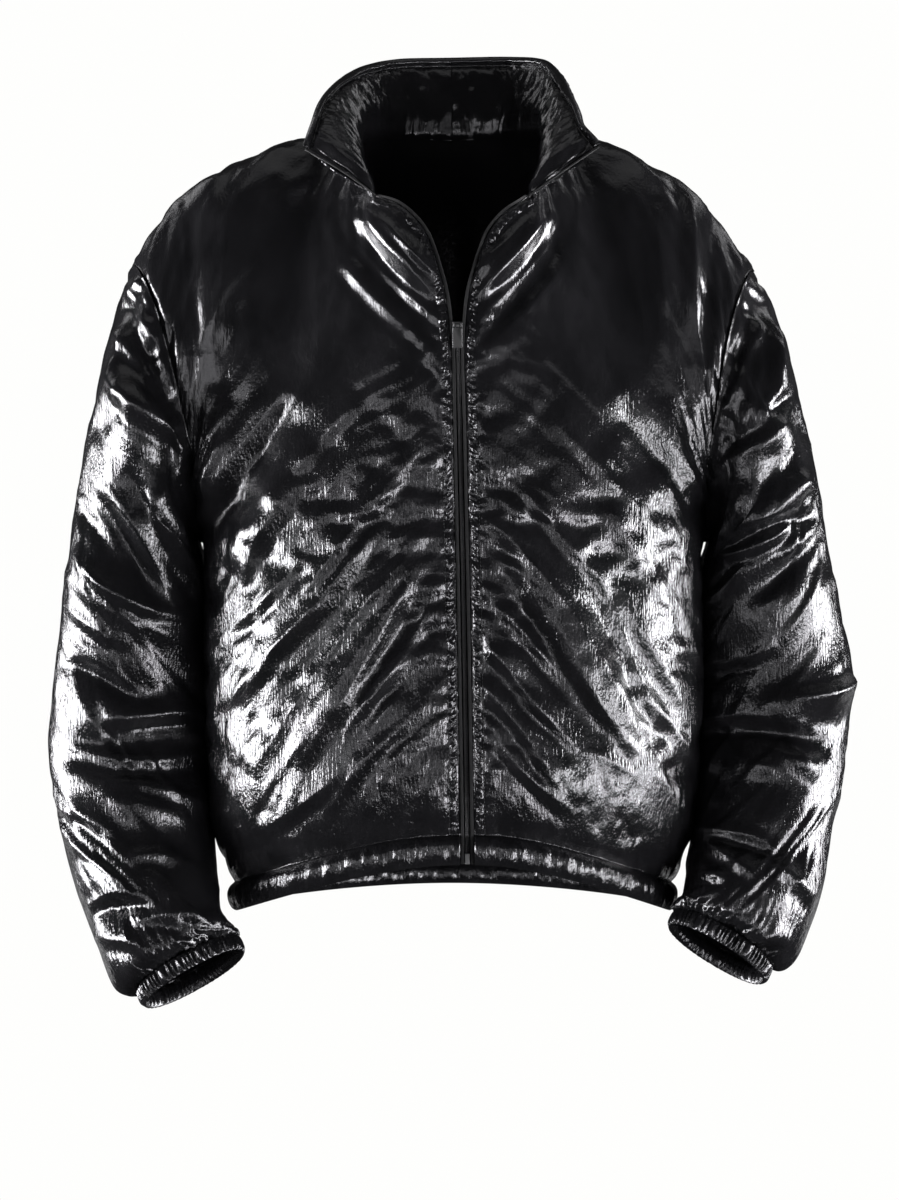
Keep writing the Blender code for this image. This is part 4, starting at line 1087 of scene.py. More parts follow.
def settle(cloth):
    """How far each point of a panel moves, in metres, once its cloth has buckled."""
    fine = (cloth.place, cloth.normal, cloth.u, cloth.v, cloth.seam)
    place, normal, u, v, inside = (one[::SETTLE_STEP, ::SETTLE_STEP] for one in fine)
    rows, columns = u.shape
    faces = turned_outward(place, grid_faces(rows, columns, cloth.closed), normal)
    uneven = wander_field(u, v, 24, 34, 5) + 0.6 * wander_field(u, v, 11, 15, 6)
    if cloth.closed:
        round_on = cloth.around[None, ::SETTLE_STEP] - u
        uneven *= smooth(0, 40, u) * smooth(0, 40, round_on)
    start = place + normal * (SETTLE_START * uneven * smooth(0, 15, inside) / 1000)[..., None]
    index = np.arange(rows * columns).reshape(rows, columns)
    edge = np.concatenate((index[:, 0], index[:, -1]))
    if not cloth.closed:
        edge = np.concatenate((edge, index[0], index[-1]))
    moved = buckled(cloth.kind, start, faces, edge) - place
    out = np.sum(moved * normal, axis=2, keepdims=True)
    moved = moved - normal * blurred(out, SETTLE_SWELL**2 // 2, cloth.closed)
    size = np.linalg.norm(moved, axis=2, keepdims=True) * 1000
    moved = moved * SETTLE_CAP / (SETTLE_CAP + size) * SETTLE_SHARE
    print(cloth.name, "settled mm", size.mean().round(2), size.max().round(2))
    return filled_in(moved, cloth.closed)


# %% [markdown]
# ## Shaping each panel
#
# Now everything is laid on each panel in turn, as it happens to a real one: the
# filling buckles it, wear creases it, and its seams pucker it. All lifts fade out
# at the seams, so that neighbours still meet. The puckers come last, because they
# start right at the seam. The work is only arrays so far, and becomes a mesh later.


# %% Shape the panels
def shape_cloth(name, seed):
    """One panel with its creases and puckers."""
    cloth = Cloth(name)
    cloth.settled = settle(cloth)
    small_creases(cloth, seed)
    if cloth.kind != "back":
        main_creases(cloth, SLEEVE_CREASES if cloth.closed else FRONT_CREASES)
    crumple = 0.5 * wander_field(cloth.u, cloth.v, 14, 22, seed + 5)
    cloth.lift += crumple * smooth(0, 25, cloth.seam)
    cloth.lift *= smooth(0, 9, cloth.seam)
    if cloth.kind == "front":
        pucker(cloth, cloth.u, cloth.v, 26, 1.5, 6.0, seed + 10)
        stitched_line(cloth, cloth.u, cloth.v, ZIP_STITCH, 1.1, seed + 11)
        pucker(cloth, np.abs(cloth.around - cloth.u), cloth.v, 18, 0.9, 8, seed + 12)
    if cloth.kind == "back":
        pucker(cloth, cloth.u, cloth.v, 18, 0.9, 8, seed + 12)
        pucker(cloth, cloth.around - cloth.u, cloth.v, 18, 0.9, 8, seed + 14)
    if cloth.closed:
        gathers = cuff_wave(name, cloth.u / cloth.around)
        fading = np.exp(-cloth.far_v / 20) * (1 - np.exp(-((cloth.far_v / 4) ** 2)))
        cloth.lift += 2.2 * gathers * fading
        pucker(cloth, cloth.v, cloth.u, 22, 1.2, 9, seed + 20)
    else:
        pucker(cloth, cloth.v, cloth.u, 15, 1.3, 6, seed + 22)
        pucker(cloth, cloth.far_v, cloth.u, 18, 1.4, 5.5, seed + 24)
    return cloth


cloths = {name: shape_cloth(name, SEED + 100 * k) for k, name in enumerate(skins)}
for name, cloth in cloths.items():
    print(name, "lift mm", cloth.lift.min().round(2), cloth.lift.max().round(2))

# %% [markdown]
# ## Turning points into objects
#
# Two makers serve every piece below: one for any list of faces, and one for a row of
# closed rings with a flat face at each end, such as a band, a strip or the collar.
# Primitives with modifiers would be shorter to write, but none of these pieces is
# close to a primitive.


# %% Mesh makers
def mesh_object(name, points, faces, material, extra=()):
    """A smooth mesh from points, four-cornered faces and any extra faces."""
    mesh = bpy.data.meshes.new(name)
    faces = [tuple(face) for face in faces.tolist()] + [tuple(face) for face in extra]
    mesh.from_pydata(points.reshape(-1, 3).tolist(), [], faces)
    mesh.validate()
    mesh.materials.append(material)
    mesh.shade_smooth()
    return placed(name, mesh)


def tube_object(name, points, material, outward=None):
    """A row of closed rings, joined and capped at both ends."""
    rows, around = points.shape[:2]
    if outward is None:
        outward = points - points.mean(axis=1, keepdims=True)
    faces = turned_outward(points, grid_faces(rows, around, closed_columns=True), outward)
    first_cap = list(range(around))
    last_cap = [(rows - 1) * around + k for k in first_cap][::-1]
    return mesh_object(name, points, faces, material, (first_cap, last_cap))


def lengths_along(places):
    """Distance along a line of points, from its first one."""
    steps = np.linalg.norm(np.diff(places, axis=0), axis=1)
    return np.concatenate(([0.0], np.cumsum(steps)))


# %% [markdown]
# ## The padded wall
#
# A padded panel is an outer cloth, filling and a lining. It is built as its shaped
# outer surface, a rim where the seams close the wall, and a plain inner surface.
# The Solidify modifier would copy every outer crease onto the inside, which the
# filling hides on a real jacket. The wall thins toward its seams.

# %% The padded wall
WALL, SEAM_WALL = 0.007, 0.003  # thickness where it is full, and at a seam
FULL_WALL_FROM = 0.024  # distance from the seam at which it is full
SEAM_INSET = 0.00022  # keeps neighbouring pieces a hair apart, as in the frame
INNER_STEP = 5  # the lining has one point for this many of the outer cloth's


def seam_inset(cloth):
    """Moves the seam edges a little inward, so that pieces stay apart."""
    place = cloth.place.copy()
    step = SEAM_INSET
    place[:, 0] += unit(place[:, 1] - place[:, 0]) * step
    place[:, -1] += unit(place[:, -2] - place[:, -1]) * step
    if not cloth.closed:
        place[0] += unit(place[1] - place[0]) * step
        place[-1] += unit(place[-2] - place[-1]) * step
    return place


def padded_surfaces(cloth):
    """The outer, middle and inner surface of a panel's wall."""
    place = seam_inset(cloth)
    place = place + cloth.normal * broad_folds(cloth.place, cloth.normal)[..., None]
    full = np.sin(np.pi / 2 * np.clip(cloth.seam / 1000 / FULL_WALL_FROM, 0, 1))
    half = (SEAM_WALL + (WALL - SEAM_WALL) * full) / 2
    outer = place + cloth.normal * (half + cloth.lift / 1000)[..., None] + cloth.settled
    return outer, place, place - cloth.normal * half[..., None]


def padded_piece(cloth, material):
    """A panel's padded wall as one object."""
    outer, cloth.middle, inner = padded_surfaces(cloth)
    cloth.outer = outer
    rows, columns = outer.shape[:2]
    as_made = grid_faces(rows, columns, cloth.closed)
    faces = turned_outward(outer, as_made, cloth.normal)
    flipped = not np.array_equal(faces[0], as_made[0])
    points, all_faces, start = [outer.reshape(-1, 3)], [faces], rows * columns
    index = np.arange(rows * columns).reshape(rows, columns)
    edges = [np.s_[:, 0], np.s_[:, -1]] + ([] if cloth.closed else [np.s_[0], np.s_[-1]])
    for n, edge in enumerate(edges):
        ids = index[edge]
        below = start + np.arange(len(ids))
        k = np.arange(len(ids) if cloth.closed else len(ids) - 1)
        on = (k + 1) % len(ids)
        rim = np.stack((ids[k], ids[on], below[on], below[k]), axis=1)
        all_faces.append(rim if (n in (0, 3)) != flipped else rim[:, ::-1])
        points.append(inner[edge])
        start += len(ids)
    keep_i = sorted(set(range(0, rows, INNER_STEP)) | (set() if cloth.closed else {rows - 1}))
    keep_j = sorted(set(range(0, columns, INNER_STEP)) | {columns - 1})
    lining = inner[np.ix_(keep_i, keep_j)]
    lining_faces = grid_faces(len(keep_i), len(keep_j), cloth.closed)
    inward = -cloth.normal[np.ix_(keep_i, keep_j)]
    all_faces.append(turned_outward(lining, lining_faces, inward) + start)
    points.append(lining.reshape(-1, 3))
    points, all_faces = np.concatenate(points), np.concatenate(all_faces)
    return mesh_object(f"{cloth.name}_cloth", points, all_faces, material)


print("wall mm", 1000 * WALL, "at a seam", 1000 * SEAM_WALL)

# %% [markdown]
# ## A maker for materials
#
# Each finish is a network of nodes: a pattern on the piece itself, turned into
# roughness, colour and bump. Such networks can be drawn in the shader editor. In a
# script a small maker keeps them short enough to compare. Patterns use the
# piece's own places in metres, so their scale is that of the real cloth.


# %% Material maker
class Maker:
    """A node material under construction."""

    def __init__(self, name):
        self.material = bpy.data.materials.new(name)
        self.material.use_nodes = True
        self.tree = self.material.node_tree
        self.shader = self.tree.nodes["Principled BSDF"]

    def set(self, **values):
        for socket, value in values.items():
            self.shader.inputs[socket.replace("_", " ")].default_value = value

    def node(self, kind, **values):
        """A new node. Each value is for a socket or, failing that, a setting."""
        made = self.tree.nodes.new(kind)
        for word, value in values.items():
            socket = word.replace("_", " ")
            if socket in made.inputs:
                made.inputs[socket].default_value = value
            else:
                setattr(made, word, value)
        return made

    def link(self, start, output, end, socket):
        self.tree.links.new(start.outputs[output], end.inputs[socket])

    def places(self, scale=(1, 1, 1)):
        mapping = self.node("ShaderNodeMapping", Scale=scale)
        self.link(self.node("ShaderNodeTexCoord"), "Object", mapping, "Vector")
        return mapping

    def noise(self, scale, size, detail=2.0, roughness=0.5, distortion=0.0):
        made = self.node("ShaderNodeTexNoise", Scale=size, Detail=detail)
        made.inputs["Roughness"].default_value = roughness
        made.inputs["Distortion"].default_value = distortion
        self.link(self.places(scale), "Vector", made, "Vector")
        return made

    def bump(self, source, output, distance, strength, before=None, taut=None):
        """Relief from a pattern, weaker where taut says so."""
        made = self.node("ShaderNodeBump", Distance=distance, Strength=strength)
        self.link(source, output, made, "Height")
        if before is not None:
            self.link(before, "Normal", made, "Normal")
        if taut is not None:
            weaker = self.node("ShaderNodeMath", operation="MULTIPLY")
            weaker.inputs[1].default_value = strength
            self.link(taut, "Result", weaker, 0)
            self.link(weaker, "Value", made, "Strength")
        return made

    def range(self, source, output, low, high, to_low, to_high):
        made = self.node("ShaderNodeMapRange", From_Min=low, From_Max=high)
        made.inputs["To Min"].default_value = to_low
        made.inputs["To Max"].default_value = to_high
        self.link(source, output, made, "Value")
        return made

    def colours(self, source, output, low, high, low_colour, high_colour):
        made = self.node("ShaderNodeValToRGB")
        ramp = made.color_ramp
        ramp.elements[0].position, ramp.elements[0].color = low, (*low_colour, 1)
        ramp.elements[1].position, ramp.elements[1].color = high, (*high_colour, 1)
        self.link(source, output, made, "Fac")
        return made

    def finished(self, relief, tone, rough=None):
        """The material, with its bump, colour and roughness joined to the shader."""
        self.link(relief, "Normal", self.shader, "Normal")
        self.link(tone, "Color", self.shader, "Base Color")
        if rough is not None:
            self.link(rough, "Result", self.shader, "Roughness")
        return self.material


print("materials before", len(bpy.data.materials))

# %% [markdown]
# ## Coated nylon
#
# The shell is tightly woven nylon with a glossy coating. Dyed black, it returns
# almost nothing but reflections, so its look is in its roughness and its relief:
# a soft crumple, a fine grain and upright streaks where the weave shows through.
# Displacement would be too heavy for relief below a millimetre, so all three are
# bumps. Pulled tight over the chest the cloth is smoother, so they weaken there.

# %% Coated nylon
TAUT_FROM, TAUT_TO = -0.27, -0.21  # z between which the cloth grows taut
TAUT_CRINKLE = 0.45  # what is left of the relief there
NYLON_DARK, NYLON_WORN = (0.0040, 0.0040, 0.0045), (0.0070, 0.0069, 0.0078)


def nylon(name, crinkle, crumple, upright=(1.0, 1.0, 0.11)):
    """Glossy coated nylon. crinkle and crumple are bump strengths."""
    m = Maker(name)
    m.set(IOR=1.45, Specular_Tint=(0.97, 0.965, 1.0, 1.0))
    streaks = m.noise(upright, 520, 2.0, 0.6, 0.4)
    soft = m.noise((1, 1, 0.7), 110, 3.0, 0.6, 0.4)
    grain = m.noise((1, 1, 0.75), 420, 2.0, 0.6, 0.2)
    worn = m.noise((1, 1, 0.6), 26, 3.0, 0.6)
    height = m.node("ShaderNodeSeparateXYZ")
    m.link(m.places(), "Vector", height, "Vector")
    taut = m.range(height, "Z", TAUT_FROM, TAUT_TO, 1.0, TAUT_CRINKLE)
    relief = m.bump(soft, "Fac", 0.0012, crumple, taut=taut)
    relief = m.bump(grain, "Fac", 0.0006, crumple, relief, taut)
    relief = m.bump(streaks, "Fac", 0.0010, crinkle, relief, taut)
    tone = m.colours(worn, "Fac", 0.35, 0.70, NYLON_DARK, NYLON_WORN)
    return m.finished(relief, tone, m.range(worn, "Fac", 0.30, 0.72, 0.09, 0.20))


shell = nylon("coated_nylon", 0.68, 0.48)
cuff_cloth = nylon("gathered_nylon", 0.50, 0.45, upright=(1.0, 1.0, 0.35))
print(shell.name, len(shell.node_tree.nodes), "nodes")

# %% [markdown]
# ## Woven tape
#
# A zip's tape is a matt ribbed weave. Modelled yarns would be lost at this size, so
# a banded wave gives the ribs, a fine noise breaks them up, and both also vary the
# colour and the roughness a little.


# %% Woven tape
def woven_tape(name):
    """Matt ribbed weave."""
    m = Maker(name)
    m.set(IOR=1.45, Specular_IOR_Level=0.35)
    ribs = m.node("ShaderNodeTexWave", wave_type="BANDS", bands_direction="Z", Scale=420)
    ribs.inputs["Distortion"].default_value = 0.8
    m.link(m.places(), "Vector", ribs, "Vector")
    cross = m.noise((1, 1, 1), 1400, 2.0)
    relief = m.bump(cross, "Fac", 0.0001, 0.5, m.bump(ribs, "Fac", 0.00025, 0.8))
    tone = m.colours(ribs, "Fac", 0.1, 0.9, (0.006, 0.006, 0.0065), (0.016, 0.016, 0.017))
    return m.finished(relief, tone, m.range(cross, "Fac", 0.3, 0.7, 0.48, 0.68))


tape_cloth = woven_tape("woven_tape")
print(tape_cloth.name, len(tape_cloth.node_tree.nodes), "nodes")

# %% [markdown]
# ## Rubbed metal
#
# Slider, tab, box and teeth are plated black, and use rubs the plating thin at the
# edges. Painted masks would need unwrapped pieces. Pointiness finds the edges by
# itself, and a patchy noise spreads a little wear over the flats.


# %% Rubbed metal
def rubbed_metal(name, dark, bright, rough_low, rough_high):
    """Plated metal, dark, with bright worn edges."""
    m = Maker(name)
    m.set(Metallic=0.75, IOR=1.5)
    grain = m.noise((1, 1, 1), 2200, 3.0)
    patches = m.noise((1, 1, 1), 420, 3.0, 0.6)
    shape = m.node("ShaderNodeNewGeometry")
    mixed = m.node("ShaderNodeMath", operation="ADD")
    m.link(m.range(shape, "Pointiness", 0.50, 0.58, 0.0, 1.0), "Result", mixed, 0)
    m.link(m.range(patches, "Fac", 0.45, 0.75, 0.0, 0.35), "Result", mixed, 1)
    rough = m.range(patches, "Fac", 0.3, 0.7, rough_low, rough_high)
    relief = m.bump(grain, "Fac", 0.00004, 0.5)
    return m.finished(relief, m.colours(mixed, 0, 0.0, 1.0, dark, bright), rough)


zip_metal = rubbed_metal("zip_metal", (0.016, 0.016, 0.017), (0.11, 0.11, 0.112), 0.30, 0.48)
tooth_metal = rubbed_metal("zip_teeth", (0.010, 0.010, 0.011), (0.05, 0.05, 0.052), 0.28, 0.42)
print(zip_metal.name, tooth_metal.name)

# %% [markdown]
# ## Sewing thread
#
# The thread is spun polyester, a little lighter than the shell. A twisted curve
# could be modelled for each stitch, but a fine noise as bump and tone is enough on
# a thread of 0.6 mm.


# %% Sewing thread
def thread(name):
    """Spun thread with a fine twist."""
    m = Maker(name)
    m.set(IOR=1.45, Roughness=0.45)
    twist = m.noise((1, 1, 1), 2600, 2.0)
    tone = m.colours(twist, "Fac", 0.3, 0.7, (0.006, 0.006, 0.007), (0.018, 0.018, 0.020))
    return m.finished(m.bump(twist, "Fac", 0.0001, 0.8), tone)


sewing_thread = thread("sewing_thread")
print("materials", [m.name for m in bpy.data.materials])

# %% [markdown]
# ## Fronts, back and sleeves
#
# The five shaped panels become padded walls of coated nylon. Each stands for the
# solid of the same name and rides on the jacket's body.

# %% Panels
panels = {}
for name, cloth in cloths.items():
    piece = padded_piece(cloth, shell)
    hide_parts(name)
    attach(piece, "jacket")
    panels[name] = piece
    print(piece.name, "triangles", 2 * len(piece.data.polygons))

# %% [markdown]
# ## Stand collar
#
# A stand collar is a padded band sewn to the neckline. It leaves the neckline
# upward and rolls a little outward at its open ends. Cloth draped round a neck
# could find that roll, but a worn collar keeps a shape of its own, so its top edge
# is a table and the band is spanned between neckline and top. Both halves are
# made the same way and joined at the back.

# %% Collar's middle surface
COLLAR_STATIONS = 240  # along each half
COLLAR_LINES = 70  # from the neckline to the top
COLLAR_STAND = 1.4  # how strongly it leaves along the cloth's direction
SEAT_GAP = 0.0003  # between a piece and the one it is sewn to
NECK_MIDDLE = np.array((0.0, -0.02, -0.01))
# share, then x, y, z and the outward bulge of the middle in mm
COLLAR_TOP = {}
COLLAR_TOP[RIGHT] = figures("""
0 134 -101 -14 0
0.12 127 -78 12 4
0.26 120 -45 36 7
0.4 108 -10 56 8
0.54 93 22 72 7
0.68 78 48 83 6
0.82 54 73 92 5
1 0 90 96 4
""", 1)
COLLAR_TOP[LEFT] = figures("""
0 133.5 -101 -12 0
0.12 120.5 -80 6 3
0.26 114.5 -50 29 5
0.4 105.5 -18 51 6
0.54 97.5 12 70 6
0.68 86 44 87 5
0.82 58 72 94 5
1 0 90 96 4
""", 1)


def read_line(wanted, shares, points):
    """Points at the wanted shares of a line, by straight steps between its own."""
    return np.stack([np.interp(wanted, shares, points[:, k]) for k in range(3)], axis=1)


def neck_edge(side):
    """The neckline from the front's open edge to the middle of the back."""
    front, back = cloths[f"front_{SIDES[side]}"], cloths["back"]
    first, last = OPEN_COLUMNS * FINER, NECK_COLUMNS * FINER
    middle = back.place.shape[0] // 2
    at = middle + side * np.arange(last - 1, -1, -1)
    places = np.concatenate((front.middle[first : last + 1, -1], back.middle[at, -1]))
    ways = np.concatenate((front.normal[first : last + 1, -1], back.normal[at, -1]))
    return places, ways


def collar_half(side):
    """Half the collar's seam: places, directions, shares along it, and its length."""
    places, ways = neck_edge(side)
    steps = np.linalg.norm(np.diff(places, axis=0), axis=1)
    shares = np.concatenate(([0.0], np.cumsum(steps))) / steps.sum()
    wanted = np.linspace(0, 1, COLLAR_STATIONS)
    base, normal = read_line(wanted, shares, places), unit(read_line(wanted, shares, ways))
    run = np.gradient(base, axis=0)
    run[-1] = (side, 0.0, 0.0)
    away = unit(np.cross(normal, run))
    toward = NECK_MIDDLE - base
    away = away * np.sign(np.sum(away * toward, axis=1))[:, None]
    return base + away * (SEAT_GAP + SEAM_INSET), normal, wanted, steps.sum()


def collar_middle(side, base, normal, share, up):
    """One line of the collar's middle surface, at a share of its height."""
    x, y, z, bulge = (between(share, COLLAR_TOP[side], i) for i in (1, 2, 3, 4))
    top = np.stack((side * x, y, z), axis=-1)
    rise = top - base
    tall = np.linalg.norm(rise, axis=1, keepdims=True)
    leave = unit(normal * COLLAR_STAND + rise / tall) * tall * 1.1
    here = hermite(base, leave, top, rise * 0.9, up)
    turn = np.pi * (1 - share)
    out = np.stack((side * np.sin(turn), np.cos(turn), 0 * turn), axis=-1)
    out = unit(out - rise * np.sum(out * rise, axis=1, keepdims=True) / tall**2)
    return here + out * bulge[:, None] * np.sin(np.pi * up) * up


def whole(right, left):
    """Both halves as one, from the right end to the left end."""
    return np.concatenate((right, left[-2::-1]))


ups = np.linspace(0, 1, COLLAR_LINES)
halves = [collar_half(side) for side in SIDES]
sheets = []
for side, (base, normal, share, _) in zip(SIDES, halves):
    rising = [collar_middle(side, base, normal, share, up) for up in ups]
    sheets.append(np.stack(rising, axis=1))
collar_sheet = whole(*sheets)
print("collar's halves along the neckline mm", [round(1000 * half[3]) for half in halves])

# %% [markdown]
# ## The collar's creases
#
# Two seams gather the collar: the neckline below it, and a stitched channel near
# its top. Tucks run away from both and meet in the middle, and a few large creases
# cross it where it rolls over. They are reckoned like the panels' own. The lining
# gets puckers from another seed.

# %% Collar's creases and puckers
COLLAR_TALL = 72.0  # mm
COLLAR_CHANNEL = 0.88  # share of its height at the stitched line
# side, share along from and to, share up from and to, half width and height in mm
COLLAR_CREASES = figures("""
-1 0.1 0.26 0.8 0.62 3.2 2.4
-1 0.16 0.4 0.55 0.4 3.6 1.8
-1 0.3 0.52 0.7 0.45 3.6 1.6
1 0.08 0.3 0.86 0.72 3.2 2.6
1 0.18 0.42 0.5 0.62 3.6 1.9
1 0.34 0.5 0.36 0.66 3.4 1.6
""")
# side, share along, share up, half width along, half width up, depth in mm
COLLAR_FOLDS = figures("""
-1 0.2 0.62 0.1 0.1 -5
1 0.24 0.58 0.12 0.1 -6
-1 0.62 0.5 0.08 0.2 -4
1 0.66 0.45 0.08 0.2 -4
""")


def collar_puckers(run, up, seed):
    """Uneven puckers in millimetres, round the whole collar: run is along it."""
    v = up * COLLAR_TALL
    under = COLLAR_CHANNEL * COLLAR_TALL - v
    from_seam = np.exp(-((v / 16) ** 1.4)) * (1 - np.exp(-((v / 3) ** 2)))
    lift = 1.5 * tucks(run - 0.3 * v, 5.5, seed) * from_seam
    beside = np.where(under > 0, under / 14, -under / 5)
    from_channel = np.exp(-(beside**1.5)) * smooth(0.5, 3.0, np.abs(under))
    slanted = 1.9 * tucks(run + 0.6 * v, 5.0, seed + 1)
    lift += (slanted + 1.0 * wander(run, 12.0, seed + 4)) * from_channel
    dimple = 1 + 0.5 * wander(run, 3.6, seed + 5)
    lift -= 1.3 * np.exp(-((under / 1.7) ** 2)) * dimple
    middle = np.sin(np.pi * np.clip(up, 0, 1))
    lift += 1.6 * wander_field(run + 0.5 * v, v - 0.4 * run, 13, 34, seed + 2) * middle
    lift += 1.0 * wander_field(run, v, 5, 9, seed + 3) * middle
    return lift / 1000


def collar_creases(side, share, up, length):
    """The collar's few large creases on one side, in metres."""
    run, v = share * length * 1000, up * COLLAR_TALL
    lift = np.zeros(share.shape)
    for crease_side, s0, s1, u0, u1, width, height in COLLAR_CREASES:
        if crease_side == side:
            line = ((s1 - s0) * length * 1000, (u1 - u0) * COLLAR_TALL)
            a, b = run - s0 * length * 1000, v - u0 * COLLAR_TALL
            lift += crease(a, b, line, width, 2 * width, height, 2.0)
    for fold_side, at, height, wide, high, deep in COLLAR_FOLDS:
        if fold_side == side:
            off = ((share - at) / wide) ** 2 + ((up - height) / high) ** 2
            lift += deep * np.exp(-off)
    return lift / 1000


lifts, runs = [], []
for side, (_, _, share, length) in zip(SIDES, halves):
    lifts.append(collar_creases(side, *np.meshgrid(share, ups, indexing="ij"), length))
    runs.append(share * length * 1000)
round_it = np.concatenate((runs[0], 2 * runs[0][-1] - runs[1][-2::-1]))
round_it, height = np.meshgrid(round_it, ups, indexing="ij")
collar_lift = whole(*lifts) + collar_puckers(round_it, height, SEED + 900)
lining_lift = collar_puckers(round_it, height, SEED + 940)
print("collar lift mm", (1000 * collar_lift.max()).round(2))

# %% [markdown]
# ## The collar rests on the shoulders
#
# Where the collar rolls outward it would sink into the shoulders' cloth. A
# Shrinkwrap modifier could hold it off, but it would also flatten its creases. Here
# each point looks up the nearest point of the shoulders and is pushed up as far as
# it needs, and the push is then spread so that it leaves no steps.

# %% Collar kept clear of the shoulders
COLLAR_SKIN_FROM = -0.12  # the shoulders' cloth above this height is looked at
COLLAR_FREE = 0.28  # share of its height above which the collar may be pushed
COLLAR_REST = 0.0016  # how far above the shoulders it stays
COLLAR_END_PINCH = 0.35  # of its wall, at its two ends
COLLAR_END_LONG = 0.014
# share of its height, wall outward and inward of the middle surface
COLLAR_ROWS = figures("""
0 0.0014 0.0034
0.1 0.0016 0.008
0.3 0.0035 0.012
0.55 0.0065 0.011
0.8 0.0065 0.007
0.88 0.003 0.0035
0.95 0.0055 0.0055
1 0.002 0.002
""")
seam_way = whole(*(half[1] for half in halves))
seam_blend = smooth(0.0, 0.10, ups)[None, :, None]


def collar_out(surface):
    """Which way the collar faces: at its seam, as the neckline does."""
    out = unit(np.cross(np.gradient(surface, axis=1), np.gradient(surface, axis=0)))
    out = out * np.sign(out[COLLAR_STATIONS - 1, COLLAR_LINES // 2, 1])
    return unit(seam_way[:, None] * (1 - seam_blend) + out * seam_blend)


def shoulder_cloth():
    """Points and directions of the panels' cloth near the collar."""
    near_it = [cloths[name] for name in ("front_right", "front_left", "back")]
    points = np.concatenate([c.outer[:, LOWER:].reshape(-1, 3) for c in near_it])
    ways = np.concatenate([c.normal[:, LOWER:].reshape(-1, 3) for c in near_it])
    near = points[:, 2] > COLLAR_SKIN_FROM
    return points[near], ways[near]


def held_off(surface, out, proud):
    """The collar's surface, pushed up where it would sink into the shoulders."""
    points, ways = shoulder_cloth()
    tree = KDTree(len(points))
    for k, place in enumerate(points):
        tree.insert(place, k)
    tree.balance()
    push = np.zeros(surface.shape)
    for n in range(len(surface)):
        for row in range(int(COLLAR_FREE * COLLAR_LINES), COLLAR_LINES):
            place = surface[n, row] + out[n, row] * proud[n, row]
            _, k, _ = tree.find(place)
            above = float((place - points[k]) @ ways[k])
            push[n, row] = ways[k] * max(0.0, COLLAR_REST - above)
    for _ in range(3):
        wide = np.pad(push, ((1, 1), (1, 1), (0, 0)), mode="edge")
        spread = wide[:-2, 1:-1] + wide[2:, 1:-1] + wide[1:-1, :-2] + wide[1:-1, 2:]
        spread /= 4
        push = np.where(np.abs(spread) > np.abs(push), spread, push)
    return surface + push


pinches = []
for _, _, share, length in halves:
    full = smooth(0, COLLAR_END_LONG, share * length)
    pinches.append(COLLAR_END_PINCH + (1 - COLLAR_END_PINCH) * full)
pinch = whole(*pinches)[:, None]
wall_out = between(ups, COLLAR_ROWS, 1)[None] * pinch
wall_in = between(ups, COLLAR_ROWS, 2)[None] * pinch
proud = wall_out + np.maximum(0.0, collar_lift)
held_sheet = held_off(collar_sheet, collar_out(collar_sheet), proud)
print("collar pushed up mm", (1000 * np.abs(held_sheet - collar_sheet).max()).round(2))

# %% [markdown]
# ## The collar's wall
#
# The collar is as thick as two padded layers between its seams, thin at the
# stitched channel and pinched at its ends. Its outer and inner surface make one
# ring round each station, and the rings make one closed tube.

# %% Collar
collar_ways = collar_out(held_sheet)
edge_calm = smooth(0, 0.05, ups)[None]
collar_outer = held_sheet + collar_ways * (wall_out + collar_lift * edge_calm)[..., None]
deep = np.maximum(wall_in + lining_lift * edge_calm, 0.3 * wall_in)
collar_inner = held_sheet - collar_ways * deep[..., None]
rings = np.concatenate((collar_outer, collar_inner[:, ::-1]), axis=1)
ring_ways = np.concatenate((collar_ways, -collar_ways[:, ::-1]), axis=1)
collar = tube_object("collar_cloth", rings, shell, ring_ways)
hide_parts("collar")
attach(collar, "jacket")
print(collar.name, rings.min(axis=(0, 1)).round(3), rings.max(axis=(0, 1)).round(3))

# %% [markdown]
# ## Hem band
#
# The hem is a channel of shell cloth, stuffed and gathered by its thread. A bevelled
# curve would give a smooth cord. Sweeping a rounded profile along the panels' lower
# edge lets each point of it be gathered unevenly, more on its outer side. Its upper
# edge is tucked in behind the panels.

# %% Hem band
# outward and down from the panels' edge
HEM_PROFILE = figures("""
0.0016 0.0006
0.0066 0.0065
0.007 0.015
0.0045 0.0225
0 0.0262
-0.005 0.0215
-0.006 0.012
-0.0018 0.0006
""")
HEM_FOOT = HEM_PROFILE[4][1]
TUCKED_IN, TUCKED_UP = 0.0012, 0.0045  # how far the upper edge goes behind the panels


def rounded_profile(profile, finer):
    """A closed profile made smooth."""
    points = np.array(profile)
    wanted = np.arange(len(points) * finer) / finer
    at = np.floor(wanted).astype(int)
    before, a, b, after = (points[(at + k) % len(points)] for k in (-1, 0, 1, 2))
    return hermite(a, (b - before) / 2, b, (after - a) / 2, (wanted - at)[:, None])


def tucked_edge(profile):
    """Which points of a band's profile are hidden behind the panel it is sewn to."""
    return (profile[:, 0] < 0.0005) & (profile[:, 1] < 0.0040)


def hem_line():
    """The panels' lower edge from one side of the zip to the other, and outward."""
    right, left, back = (skins[n][:, 0] for n in ("front_right", "front_left", "back"))
    line = np.concatenate((right, back[1:], left[-2::-1]))
    run = np.gradient(line, axis=0)
    out = unit(np.stack((-run[:, 1], run[:, 0], 0 * run[:, 0]), axis=1))
    flat = line * (1, 1, 0)
    out = out * np.sign(np.sum(out * flat, axis=1))[:, None]
    out[0] = out[-1] = (0.0, -1.0, 0.0)
    line[0] = line[0] + unit(line[1] - line[0]) * SEAT_GAP
    line[-1] = line[-1] + unit(line[-2] - line[-1]) * SEAT_GAP
    return line, out


